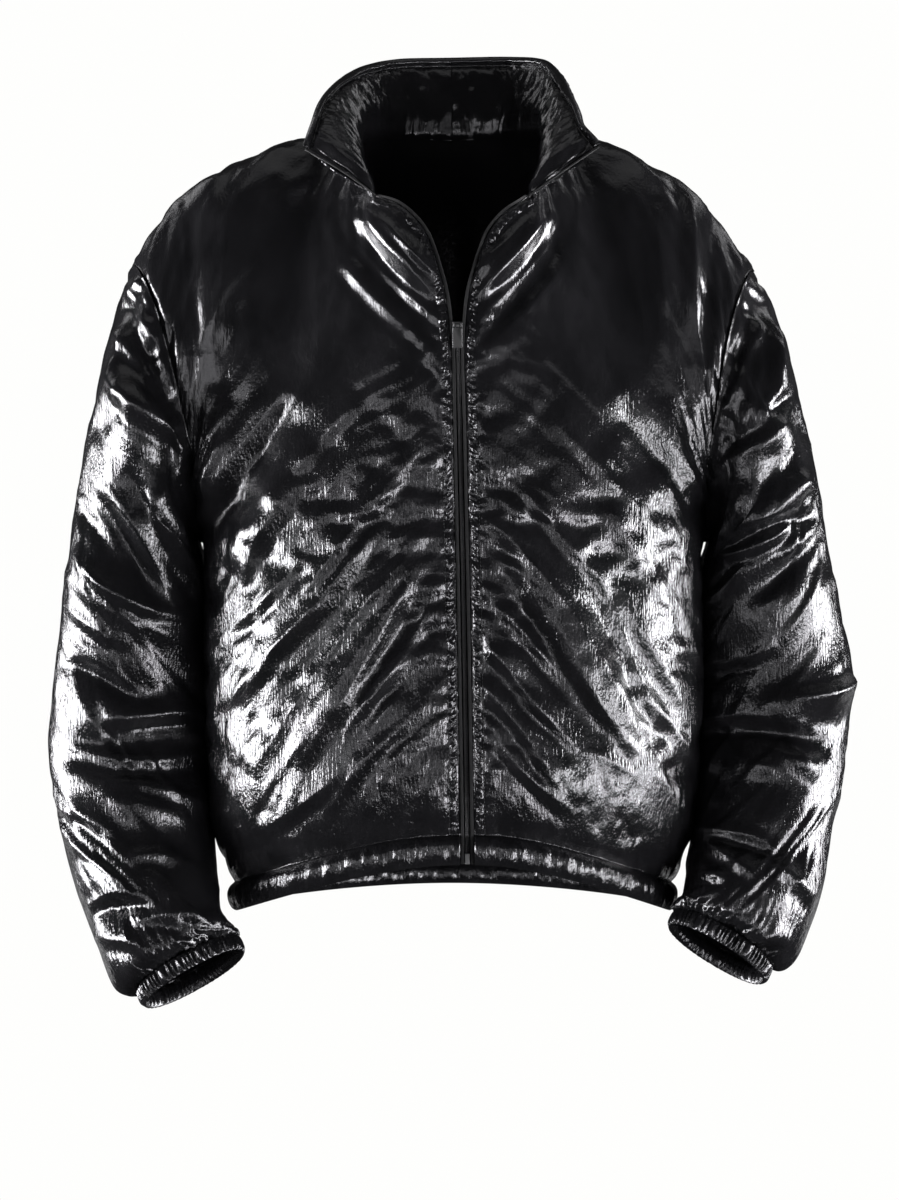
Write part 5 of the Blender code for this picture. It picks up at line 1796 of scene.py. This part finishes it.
def hem_points():
    """The hem's rings, gathered unevenly on their outer side."""
    line, out = hem_line()
    places = lengths_along(line) * 1000
    from_end = np.minimum(places, places[-1] - places)
    profile = rounded_profile(HEM_PROFILE, 4)
    down = profile[:, 1] * 1000
    swell = 1.0 * wander(places, 4.6, 311) + 0.7 * wander(places, 10.0, 313)
    slanted = wander_field(*np.meshgrid(places, down, indexing="ij"), 4.0, 12.0, 317)
    ends = smooth(0, 12, places) * smooth(0, 12, places[-1] - places)
    deep = (swell[:, None] * 0.9 + slanted * 1.1) * ends[:, None] / 1000
    outer_side = np.clip(profile[:, 0] / 0.005, -1, 1) * smooth(2.0, 5.5, down)
    points = line[:, None] + out[:, None] * (profile[:, 0] + deep * outer_side)[..., None]
    points = points - profile[:, 1][None, :, None] * np.array((0.0, 0.0, 1.0))
    tuck = out * TUCKED_IN - np.array((0.0, 0.0, TUCKED_UP))
    points[:, tucked_edge(profile)] -= (tuck * smooth(12, 20, from_end)[:, None])[:, None]
    return points


hem = tube_object("hem_band_cloth", hem_points(), shell)
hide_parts("hem_band")
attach(hem, "jacket")
print(hem.name, "triangles", 2 * len(hem.data.polygons))

# %% [markdown]
# ## Cuffs
#
# A cuff is a narrow elastic band that gathers the sleeve's end into many small
# ribs. A wave modifier would make them all alike, so each rib takes its width and
# depth from the same uneven wave that already runs up the sleeve. The band follows
# the sleeve's last ring and is tucked in behind it.

# %% Cuffs
CUFF_RIB = 0.0015  # height of a full rib
CUFF_TUCKED_UP = 0.0040
# outward and down from the sleeve's edge
CUFF_PROFILE = figures("""
0.0016 0.0006
0.0036 0.005
0.0034 0.012
0.001 0.0165
-0.0016 0.0085
""")


def between_stations(ring, after_last):
    """A closed ring's values with a new one half way between each two."""
    finer = np.repeat(ring, 2, axis=0)
    finer[1::2] = (ring + np.concatenate((ring[1:], after_last))) / 2
    return finer


def cuff_piece(name, side):
    """The gathered band at one sleeve's end."""
    last = SLEEVE_RINGS[side][-1]
    outer = np.array((side * last[1], last[5], last[2]))
    inner = np.array((side * last[3], last[5], last[4]))
    axis = unit(np.cross(outer - inner, np.array((0.0, -1.0, last[7]))))
    axis = -axis if axis[2] > 0 else axis
    cloth = cloths[name.replace("cuff", "sleeve")]
    edge = cloth.place[:, -1]
    ring = between_stations(edge, edge[:1])
    share = between_stations(cloth.u[:, -1] / cloth.around[-1], [1.0])
    out = unit(ring - (outer + inner) / 2)
    profile = rounded_profile(CUFF_PROFILE, 5)
    down = profile[:, 1] * 1000
    wave = cuff_wave(name, share)[:, None]
    crossing = wander_field(*np.meshgrid(share * 200, down, indexing="ij"), 3.0, 6.0, 331)
    hold = smooth(0.4, 3.0, down) * np.clip(profile[:, 0] / 0.003, -0.9, 1)
    swell = wave * (1 + 0.25 * crossing) * hold * CUFF_RIB
    points = ring[:, None] + out[:, None] * (profile[:, 0] + swell)[..., None]
    points = points + profile[:, 1][None, :, None] * axis
    points[:, tucked_edge(profile)] -= out[:, None] * TUCKED_IN + axis * CUFF_TUCKED_UP
    faces = grid_faces(*points.shape[:2], closed_rows=True, closed_columns=True)
    faces = turned_outward(points, faces, points - points.mean(axis=1, keepdims=True))
    return mesh_object(f"{name}_cloth", points, faces, cuff_cloth)


for side, word in SIDES.items():
    name = f"cuff_{word}"
    band = cuff_piece(name, side)
    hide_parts(name)
    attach(band, "jacket")

# %% [markdown]
# ## Zip tapes
#
# Each tape is sewn behind a front's edge and goes on up the end of the collar, so
# only a few millimetres of it show. A curve with a bevel would twist on the way.
# A strip with its own direction at every station lies flat on the cloth, and it
# turns smoothly where the front ends and the collar begins.

# %% Zip tapes
TAPE_WIDTH, TAPE_THICK = 0.0029, 0.0014
TAPE_GAP, TAPE_COLLAR_GAP = 0.0007, 0.0013  # from the front's edge, and the collar's
TAPE_SIDES = 12  # points round the strip
TAPE_TURN = 14  # stations over which it turns from the front to the collar


def front_edge(side):
    """A front's edge beside the zip, up to the collar, and its directions."""
    cloth = cloths[f"front_{SIDES[side]}"]
    first = OPEN_COLUMNS * FINER
    places = np.concatenate((cloth.middle[0], cloth.middle[1 : first + 1, -1]))
    ways = np.concatenate((cloth.normal[0], cloth.normal[1 : first + 1, -1]))
    return places, ways


def strip_points(start, out, sideways):
    """A flat strip with rounded edges, as a row of rings."""
    turns = 2 * np.pi * np.arange(TAPE_SIDES) / TAPE_SIDES
    a = 0.5 + 0.5 * np.sign(np.cos(turns)) * np.abs(np.cos(turns)) ** 0.5
    b = TAPE_THICK * 0.5 * np.sign(np.sin(turns)) * np.abs(np.sin(turns)) ** 0.5
    wide = sideways[:, None] * (TAPE_WIDTH * a)[None, :, None]
    return start[:, None] + wide + out[:, None] * b[None, :, None]


def tape_points(side):
    """The tape from its foot inside the hem to the top of the collar."""
    places, ways = front_edge(side)
    foot = places[0] - np.array((0.0, 0.0, HEM_FOOT - 0.001))
    places, ways = np.concatenate(([foot], places)), np.concatenate((ways[:1], ways))
    sideways = unit(np.cross(ways, np.gradient(places, axis=0))) * side
    end, beside = (0, 3) if side == RIGHT else (-1, -4)
    rows = slice(2, COLLAR_LINES - 3)
    up_places, up_ways = held_sheet[end, rows], collar_ways[end, rows]
    up_side = unit(up_places - held_sheet[beside, rows])
    body = len(places)
    turning = smooth(body - TAPE_TURN, body - 1, np.arange(body))[:, None]
    sideways = unit(sideways * (1 - turning) + unit(sideways[-1] + up_side[0]) * turning)
    gaps = TAPE_GAP + (TAPE_COLLAR_GAP - TAPE_GAP) * turning
    start = np.concatenate((places + sideways * gaps, up_places + up_side * TAPE_COLLAR_GAP))
    ways = np.concatenate((ways, up_ways))
    return strip_points(start, ways, np.concatenate((sideways, up_side)))


for side, word in SIDES.items():
    piece = tube_object(f"zip_tape_{word}_cloth", tape_points(side), tape_cloth)
    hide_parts(f"zip_tape_{word}")
    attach(piece, "jacket")
    print(piece.name, "triangles", 2 * len(piece.data.polygons))

# %% [markdown]
# ## Moulded teeth
#
# A moulded zip has two rows of small teeth, each gripping the gap between two of
# the other row. An Array modifier along a curve could repeat one tooth, but it
# would leave both rows facing one way. Each tooth is lofted through four sections,
# lies across the zip's line, and belongs to one mesh that stands for the chain.

# %% Teeth
TOOTH_PITCH = 0.0016
TOOTH_SIDES = 8
TOOTH_FULL, TOOTH_TALL = 0.62, 0.72
TOOTH_OVERLAP = 0.0001  # over the zip's middle line
CHAIN_THICK = 0.0024
# distance from the zip's middle line, size
TOOTH_SECTIONS = ((0.0, 0.45), (0.0004, 0.62), (0.0011, 0.62), (0.0018, 0.4))


def teeth_line():
    """The places of the right row's teeth, and which way the zip faces there."""
    right, right_ways = front_edge(RIGHT)
    left, left_ways = front_edge(LEFT)
    middle, ways = (right + left) / 2, unit(right_ways + left_ways)
    low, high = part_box("zip_chain")
    heights = middle[:, 2]
    top = int(np.argmax(heights > high[2])) + 1
    wanted = np.arange(low[2] + 0.001, high[2] - 0.001, TOOTH_PITCH)
    foot = middle[0] + np.outer(wanted - heights[0], (0.0, 0.0, 1.0))
    line = read_line(wanted, heights[:top], middle[:top])
    line = np.where((wanted < heights[0])[:, None], foot, line)
    return line, unit(read_line(wanted, heights[:top], ways[:top]))


def teeth_lists():
    """Points and faces of all teeth."""
    turns = 2 * np.pi * np.arange(TOOTH_SIDES) / TOOTH_SIDES
    ring = np.stack((np.cos(turns), np.sin(turns)), axis=1)
    ring = np.sign(ring) * np.abs(ring) ** 0.7
    line, ways = teeth_line()
    points, faces = [], []
    for side in SIDES:
        for place, way in zip(line, ways):
            across = unit(np.cross(way, (0.0, 0.0, 1.0))) * -side
            up = np.cross(across, way)
            up = up * np.sign(up[2])
            centre = place + up * (TOOTH_PITCH / 2 if side == LEFT else 0.0)
            start = len(points) * TOOTH_SIDES
            for reach, size in TOOTH_SECTIONS:
                deep = CHAIN_THICK / 2 * size / TOOTH_FULL
                tall = TOOTH_PITCH * size * TOOTH_TALL
                spot = centre + across * (reach - TOOTH_OVERLAP)
                points.append(spot + ring[:, :1] * way * deep + ring[:, 1:] * up * tall)
            loft = grid_faces(len(TOOTH_SECTIONS), TOOTH_SIDES, closed_columns=True) + start
            faces += [(a, d, c, b) for a, b, c, d in loft.tolist()]
            last = start + TOOTH_SIDES * (len(TOOTH_SECTIONS) - 1)
            faces.append(tuple(range(start, start + TOOTH_SIDES))[::-1])
            faces.append(tuple(range(last, last + TOOTH_SIDES)))
    return np.concatenate(points).tolist(), faces


mesh = bpy.data.meshes.new("zip_teeth")
points, faces = teeth_lists()
mesh.from_pydata(points, [], faces)
mesh.materials.append(tooth_metal)
teeth = placed("zip_teeth", mesh)
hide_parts("zip_chain")
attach(teeth, "jacket")
print("teeth faces", len(teeth.data.polygons))

# %% [markdown]
# ## Slider, tab and box
#
# These three are hard, and their solids already have their exact shapes, so they
# stay as they are and only get the rubbed metal.

# %% Metal parts
for name in ("zip_slider", "zip_pull", "zip_box"):
    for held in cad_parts[name].material_slots:
        held.material = zip_metal

# %% [markdown]
# ## Piping beside the zip
#
# A narrow fold is sewn along each front edge and up the collar. Its thread is
# pulled tight, so it puckers all the way. A separate cloth could be simulated for
# it, but it would have to be pinned at every stitch. Laying a puckered strip on the
# finished surfaces lets it follow their creases.

# %% Piping
PIPING_WIDTH = 8.0  # mm
PIPING_STEP = 0.0007
PIPING_ACROSS = 13  # points across it


def mesh_tree(thing):
    """A piece's surface, ready to be searched for its nearest point."""
    corners = [v.co.copy() for v in thing.data.vertices]
    return BVHTree.FromPolygons(corners, [tuple(p.vertices) for p in thing.data.polygons])


def piping_line(side):
    """The piping's edge, its two directions, and where the front ends."""
    places, ways = front_edge(side)
    inward = -unit(np.cross(ways, np.gradient(places, axis=0))) * side
    places, inward, ways = places[3:-2], inward[3:-2], ways[3:-2]
    end, beside = (0, 8) if side == RIGHT else (-1, -9)
    rows = slice(3, int(0.97 * COLLAR_LINES))
    up = collar_outer[end, rows]
    body = len(places)
    places = np.concatenate((places, up))
    inward = np.concatenate((inward, unit(collar_outer[beside, rows] - up)))
    ways = np.concatenate((ways, collar_ways[end, rows]))
    steps = lengths_along(places)
    wanted = np.arange(0, steps[-1], PIPING_STEP)
    swap = int(np.searchsorted(wanted, steps[body]))
    line, into, way = (read_line(wanted, steps, values) for values in (places, inward, ways))
    return wanted, line, unit(into), unit(way), swap


def piping_lift(wanted, across, side):
    """The piping's puckers in mm: round across its width, uneven along it."""
    share = (across - across[0]) / PIPING_WIDTH
    crown = np.sin(np.pi * share) ** 0.6
    mm, over = np.meshgrid(wanted * 1000, across, indexing="ij")
    fine = wander_field(mm + 0.8 * over, over, 1.5, 3.0, 401 + side)
    broad = wander_field(mm - 0.6 * over, over, 3.6, 6.0, 411 + side)
    return -0.25 + crown * (1.0 + 0.75 * fine + 0.7 * broad)


def piping_piece(side, word):
    """The narrow puckered fold, lying on the front and the collar."""
    front_tree, collar_tree = mesh_tree(panels[f"front_{word}"]), mesh_tree(collar)
    wanted, line, into, way, swap = piping_line(side)
    across = np.linspace(0.5, PIPING_WIDTH + 0.5, PIPING_ACROSS)
    lift = piping_lift(wanted, across, side)
    points = np.zeros((len(wanted), len(across), 3))
    for n in range(len(wanted)):
        tree = front_tree if n < swap else collar_tree
        for k, reach in enumerate(across):
            guess = line[n] + into[n] * reach / 1000 + way[n] * 0.003
            spot, face_way, _, _ = tree.find_nearest(Vector(guess))
            face_way = np.array(face_way)
            face_way = face_way if face_way @ way[n] > 0 else way[n]
            points[n, k] = np.array(spot) + face_way * lift[n, k] / 1000
    directions = np.repeat(way[:, None], len(across), axis=1)
    faces = turned_outward(points, grid_faces(*points.shape[:2]), directions)
    return mesh_object(f"zip_piping_{word}", points, faces, shell)


for side, word in SIDES.items():
    piece = piping_piece(side, word)
    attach(piece, "jacket")
    print(piece.name, "triangles", 2 * len(piece.data.polygons))

# %% [markdown]
# ## Stitching
#
# Rows of thread lie in the grooves beside the zip and along the collar's channel.
# A dashed texture would stay flat, and these threads catch the light. Each stitch
# is a short rounded bar whose two ends dive into the cloth.

# %% Stitches
STITCH_PITCH, STITCH_LENGTH, THREAD_RADIUS = 0.0034, 0.0024, 0.00032
STITCH_SIDES = 6
# place along the stitch, size and rise, as shares of its length and radius
STITCH_STATIONS = figures("""
-0.5 0.25 -0.6
-0.3 0.9 0.1
0 1 0.45
0.3 0.9 0.1
0.5 0.25 -0.6
""")


def stitch_piece(name, places, out):
    """A row of stitches along places, which face out."""
    lengths = lengths_along(places)
    starts = np.arange(STITCH_PITCH, lengths[-1] - STITCH_PITCH, STITCH_PITCH)
    turns = 2 * np.pi * np.arange(STITCH_SIDES) / STITCH_SIDES
    after = read_line(starts + STITCH_LENGTH, lengths, places)
    run = unit(after - read_line(starts - STITCH_LENGTH, lengths, places))
    points = []
    for share, size, rise in STITCH_STATIONS:
        centre = read_line(starts + share * STITCH_LENGTH, lengths, places)
        way = unit(read_line(starts + share * STITCH_LENGTH, lengths, out))
        across = unit(np.cross(way, run))[:, None]
        centre = centre + way * (rise * THREAD_RADIUS)
        cosine, sine = np.cos(turns)[None, :, None], np.sin(turns)[None, :, None]
        spread = cosine * across + sine * way[:, None]
        points.append(centre[:, None] + spread * THREAD_RADIUS * size)
    stations = len(STITCH_STATIONS)
    one = grid_faces(stations, STITCH_SIDES, closed_columns=True)
    each = np.arange(len(starts))[:, None, None] * stations * STITCH_SIDES
    faces = (one[None] + each).reshape(-1, 4)
    piece = mesh_object(name, np.stack(points, axis=1), faces, sewing_thread)
    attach(piece, "jacket")
    print(name, len(starts), "stitches")


def zip_groove(cloth):
    """The stitched groove beside the zip on one front, and its directions."""
    columns, rows = (np.arange(count) for count in cloth.u.shape)
    at = np.array([np.interp(ZIP_STITCH, cloth.u[:, j], columns) for j in rows])
    low = np.floor(at).astype(int)
    rest = (at - low)[:, None]
    places = cloth.outer[low, rows] * (1 - rest) + cloth.outer[low + 1, rows] * rest
    return places, cloth.normal[low, rows]


for name in ("front_right", "front_left"):
    stitch_piece(f"{name}_zip_stitches", *zip_groove(cloths[name]))
groove = np.s_[2:-2, int(round(COLLAR_CHANNEL * (COLLAR_LINES - 1)))]
stitch_piece("collar_outer_stitches", collar_outer[groove], collar_ways[groove])
stitch_piece("collar_inner_stitches", collar_inner[groove], -collar_ways[groove])

# %% [markdown]
# ## A studio painted by direction
#
# Glossy black cloth shows little but its surroundings, so the light is designed as
# reflections. Area lamps would work, but their edges get noisy in so many small
# creases. Here the world itself is painted by direction, as turn and rise in
# degrees: turn 0 is in front and minus to the wearer's right.

# %% Directions of the studio
world = bpy.data.worlds.new("studio")
bpy.context.scene.world = world
world.use_nodes = True
nodes, links = world.node_tree.nodes, world.node_tree.links
DEGREES = 180 / math.pi


def reckon(operation, *values):
    """One step of arithmetic: each value is a number or another step's result."""
    step = nodes.new("ShaderNodeMath")
    step.operation = operation
    for socket, value in zip(step.inputs, values):
        if isinstance(value, (int, float)):
            socket.default_value = value
        else:
            links.new(value, socket)
    return step.outputs[0]


def fading(value, low, high, inside, outside):
    """Goes smoothly from inside, at low, to outside, at high."""
    step = nodes.new("ShaderNodeMapRange")
    step.interpolation_type = "SMOOTHSTEP"
    sockets = ("From Min", "From Max", "To Min", "To Max")
    for socket, number in zip(sockets, (low, high, inside, outside)):
        step.inputs[socket].default_value = number
    links.new(value, step.inputs["Value"])
    return step.outputs[0]


where = nodes.new("ShaderNodeTexCoord")
split = nodes.new("ShaderNodeSeparateXYZ")
links.new(where.outputs["Generated"], split.inputs[0])
x, y, z = (split.outputs[name] for name in "XYZ")
turn = reckon("MULTIPLY", reckon("ARCTAN2", x, reckon("MULTIPLY", y, -1.0)), DEGREES)
rise = reckon("MULTIPLY", reckon("ARCSINE", z), DEGREES)
measures = {"turn": turn, "aside": reckon("ABSOLUTE", turn)}
print("world nodes", len(nodes))

# %% [markdown]
# ## Softboxes
#
# White boxes stand low at both sides and grey ones nearer the front. The grey ones
# have dark slats, which show as fine upright grain in the cloth. The rest is nearly
# dark, so the chest and the shoulders stay black. A box measured aside stands on
# both sides alike. The camera itself sees a plain pale backdrop.

# %% Softboxes
SLATS_DARK, SLATS_BRIGHT = 0.15, 2.2  # of the box's light
SOFTBOXES = (
    # measure, middle, half width, rise, half height, soft edge (degrees), light, slats
    ("turn", -38, 24, 0, 8, 3, 2.4, 7.0),
    ("turn", -18, 12, -16, 9, 5, 1.5, 7.0),
    ("turn", -100, 18, 0, 10, 3, 44.0, 0),
    ("turn", -77, 12, -6, 5, 3, 38.0, 0),
    ("turn", 32, 22, 2, 9, 5, 0.65, 7.0),
    ("turn", 98, 15, -1, 9, 3, 42.0, 0),
    ("turn", 18, 17, -15, 6, 4, 1.6, 7.0),
    ("turn", 58, 20, -15, 6, 3, 24.0, 0),
    ("turn", 34, 14, -24, 7, 4, 9.0, 0),
    ("aside", 138, 14, 34, 6, 5, 1.4, 8.0),
    ("aside", 152, 12, -14, 5, 4, 0.8, 8.0),
)


def softbox(measure, middle, half, height, half_height, edge, light, slats):
    """A lit rectangle, with dark slats when slats is a pitch."""
    off = reckon("SUBTRACT", measures[measure], float(middle))
    across = reckon("ABSOLUTE", off)
    up = reckon("ABSOLUTE", reckon("SUBTRACT", rise, float(height)))
    level = fading(across, half - edge, half + edge, float(light), 0.0)
    fade = fading(up, half_height - edge, half_height + edge, 1.0, 0.0)
    level = reckon("MULTIPLY", level, fade)
    if slats:
        wave = reckon("SINE", reckon("MULTIPLY", turn, 2 * math.pi / slats))
        level = reckon("MULTIPLY", level, fading(wave, -0.3, 0.7, SLATS_DARK, SLATS_BRIGHT))
    return level


level = fading(z, -0.9, 0.95, 0.015, 0.035)
for row in SOFTBOXES:
    level = reckon("ADD", level, softbox(*row))
surround = nodes["Background"]
surround.inputs["Color"].default_value = (0.99, 0.985, 1.0, 1.0)
links.new(level, surround.inputs["Strength"])
backdrop = nodes.new("ShaderNodeBackground")
backdrop.inputs["Color"].default_value = (0.992, 0.992, 0.982, 1.0)
backdrop.inputs["Strength"].default_value = 1.0
path = nodes.new("ShaderNodeLightPath")
mix = nodes.new("ShaderNodeMixShader")
links.new(path.outputs["Is Camera Ray"], mix.inputs[0])
links.new(surround.outputs[0], mix.inputs[1])
links.new(backdrop.outputs[0], mix.inputs[2])
links.new(mix.outputs[0], nodes["World Output"].inputs["Surface"])
print("softboxes", len(SOFTBOXES))

# %% [markdown]
# ## One weak panel overhead
#
# A studio's ceiling gives a little light from above, so that the shoulders and the
# inside of the collar aren't lost. One large, weak area lamp does it. The camera
# doesn't see it.

# %% Overhead panel
PANEL_SIZE = (2.4, 1.6)
PANEL_PLACE = Vector((0.0, 0.1, 2.4))
PANEL_RADIANCE = 0.4
light = bpy.data.lights.new("overhead_panel", "AREA")
light.shape = "RECTANGLE"
light.size, light.size_y = PANEL_SIZE
light.energy = PANEL_RADIANCE * math.pi * PANEL_SIZE[0] * PANEL_SIZE[1]
overhead = placed("overhead_panel", light)
overhead.location = PANEL_PLACE
toward = Vector() - PANEL_PLACE
overhead.rotation_euler = toward.to_track_quat("-Z", "Y").to_euler()
overhead.visible_camera = False
print("panel watts", round(light.energy, 2))

# %% [markdown]
# ## Floor
#
# A plain pale floor lies well below the jacket, which hangs. It could be a large
# plane, but a disc has no corners that show from above. It glows faintly, to be as
# pale as the backdrop, and it isn't part of the object.

# %% Floor
FLOOR_RADIUS, FLOOR_Z, FLOOR_SIDES = 2.2, -1.45, 96
turns = [2 * math.pi * k / FLOOR_SIDES for k in range(FLOOR_SIDES)]
rim = [(FLOOR_RADIUS * math.cos(t), FLOOR_RADIUS * math.sin(t), FLOOR_Z) for t in turns]
mesh = bpy.data.meshes.new("floor")
mesh.from_pydata(rim, [], [tuple(range(FLOOR_SIDES))])
m = Maker("pale_floor")
m.set(Roughness=0.7, Emission_Color=(1.0, 1.0, 0.985, 1.0), Emission_Strength=0.56)
speckle = m.noise((1, 1, 1), 60, 4.0)
pale = m.colours(speckle, "Fac", 0.3, 0.7, (0.80, 0.80, 0.79), (0.84, 0.84, 0.83))
m.link(pale, "Color", m.shader, "Base Color")
mesh.materials.append(m.material)
floor = placed("floor", mesh)
floor.visible_glossy = False  # the coated cloth would show the whole floor
print("floor", FLOOR_RADIUS, "m round at", FLOOR_Z)

# %% [markdown]
# ## Camera
#
# The camera stands three metres in front at the middle of the jacket's height and
# looks straight ahead, so upright lines stay upright. A long lens keeps the
# proportions calm. The standard view transform leaves the black black.

# %% Camera
lens = bpy.data.cameras.new("camera")
lens.lens = 96.8  # mm
lens.sensor_width = 36.0
camera = placed("camera", lens)
camera.location = tuple(EYE)
camera.rotation_euler = (math.pi / 2, 0.0, 0.0)
bpy.context.scene.camera = camera
bpy.context.scene.view_settings.view_transform = "Standard"
print("camera", tuple(camera.location))
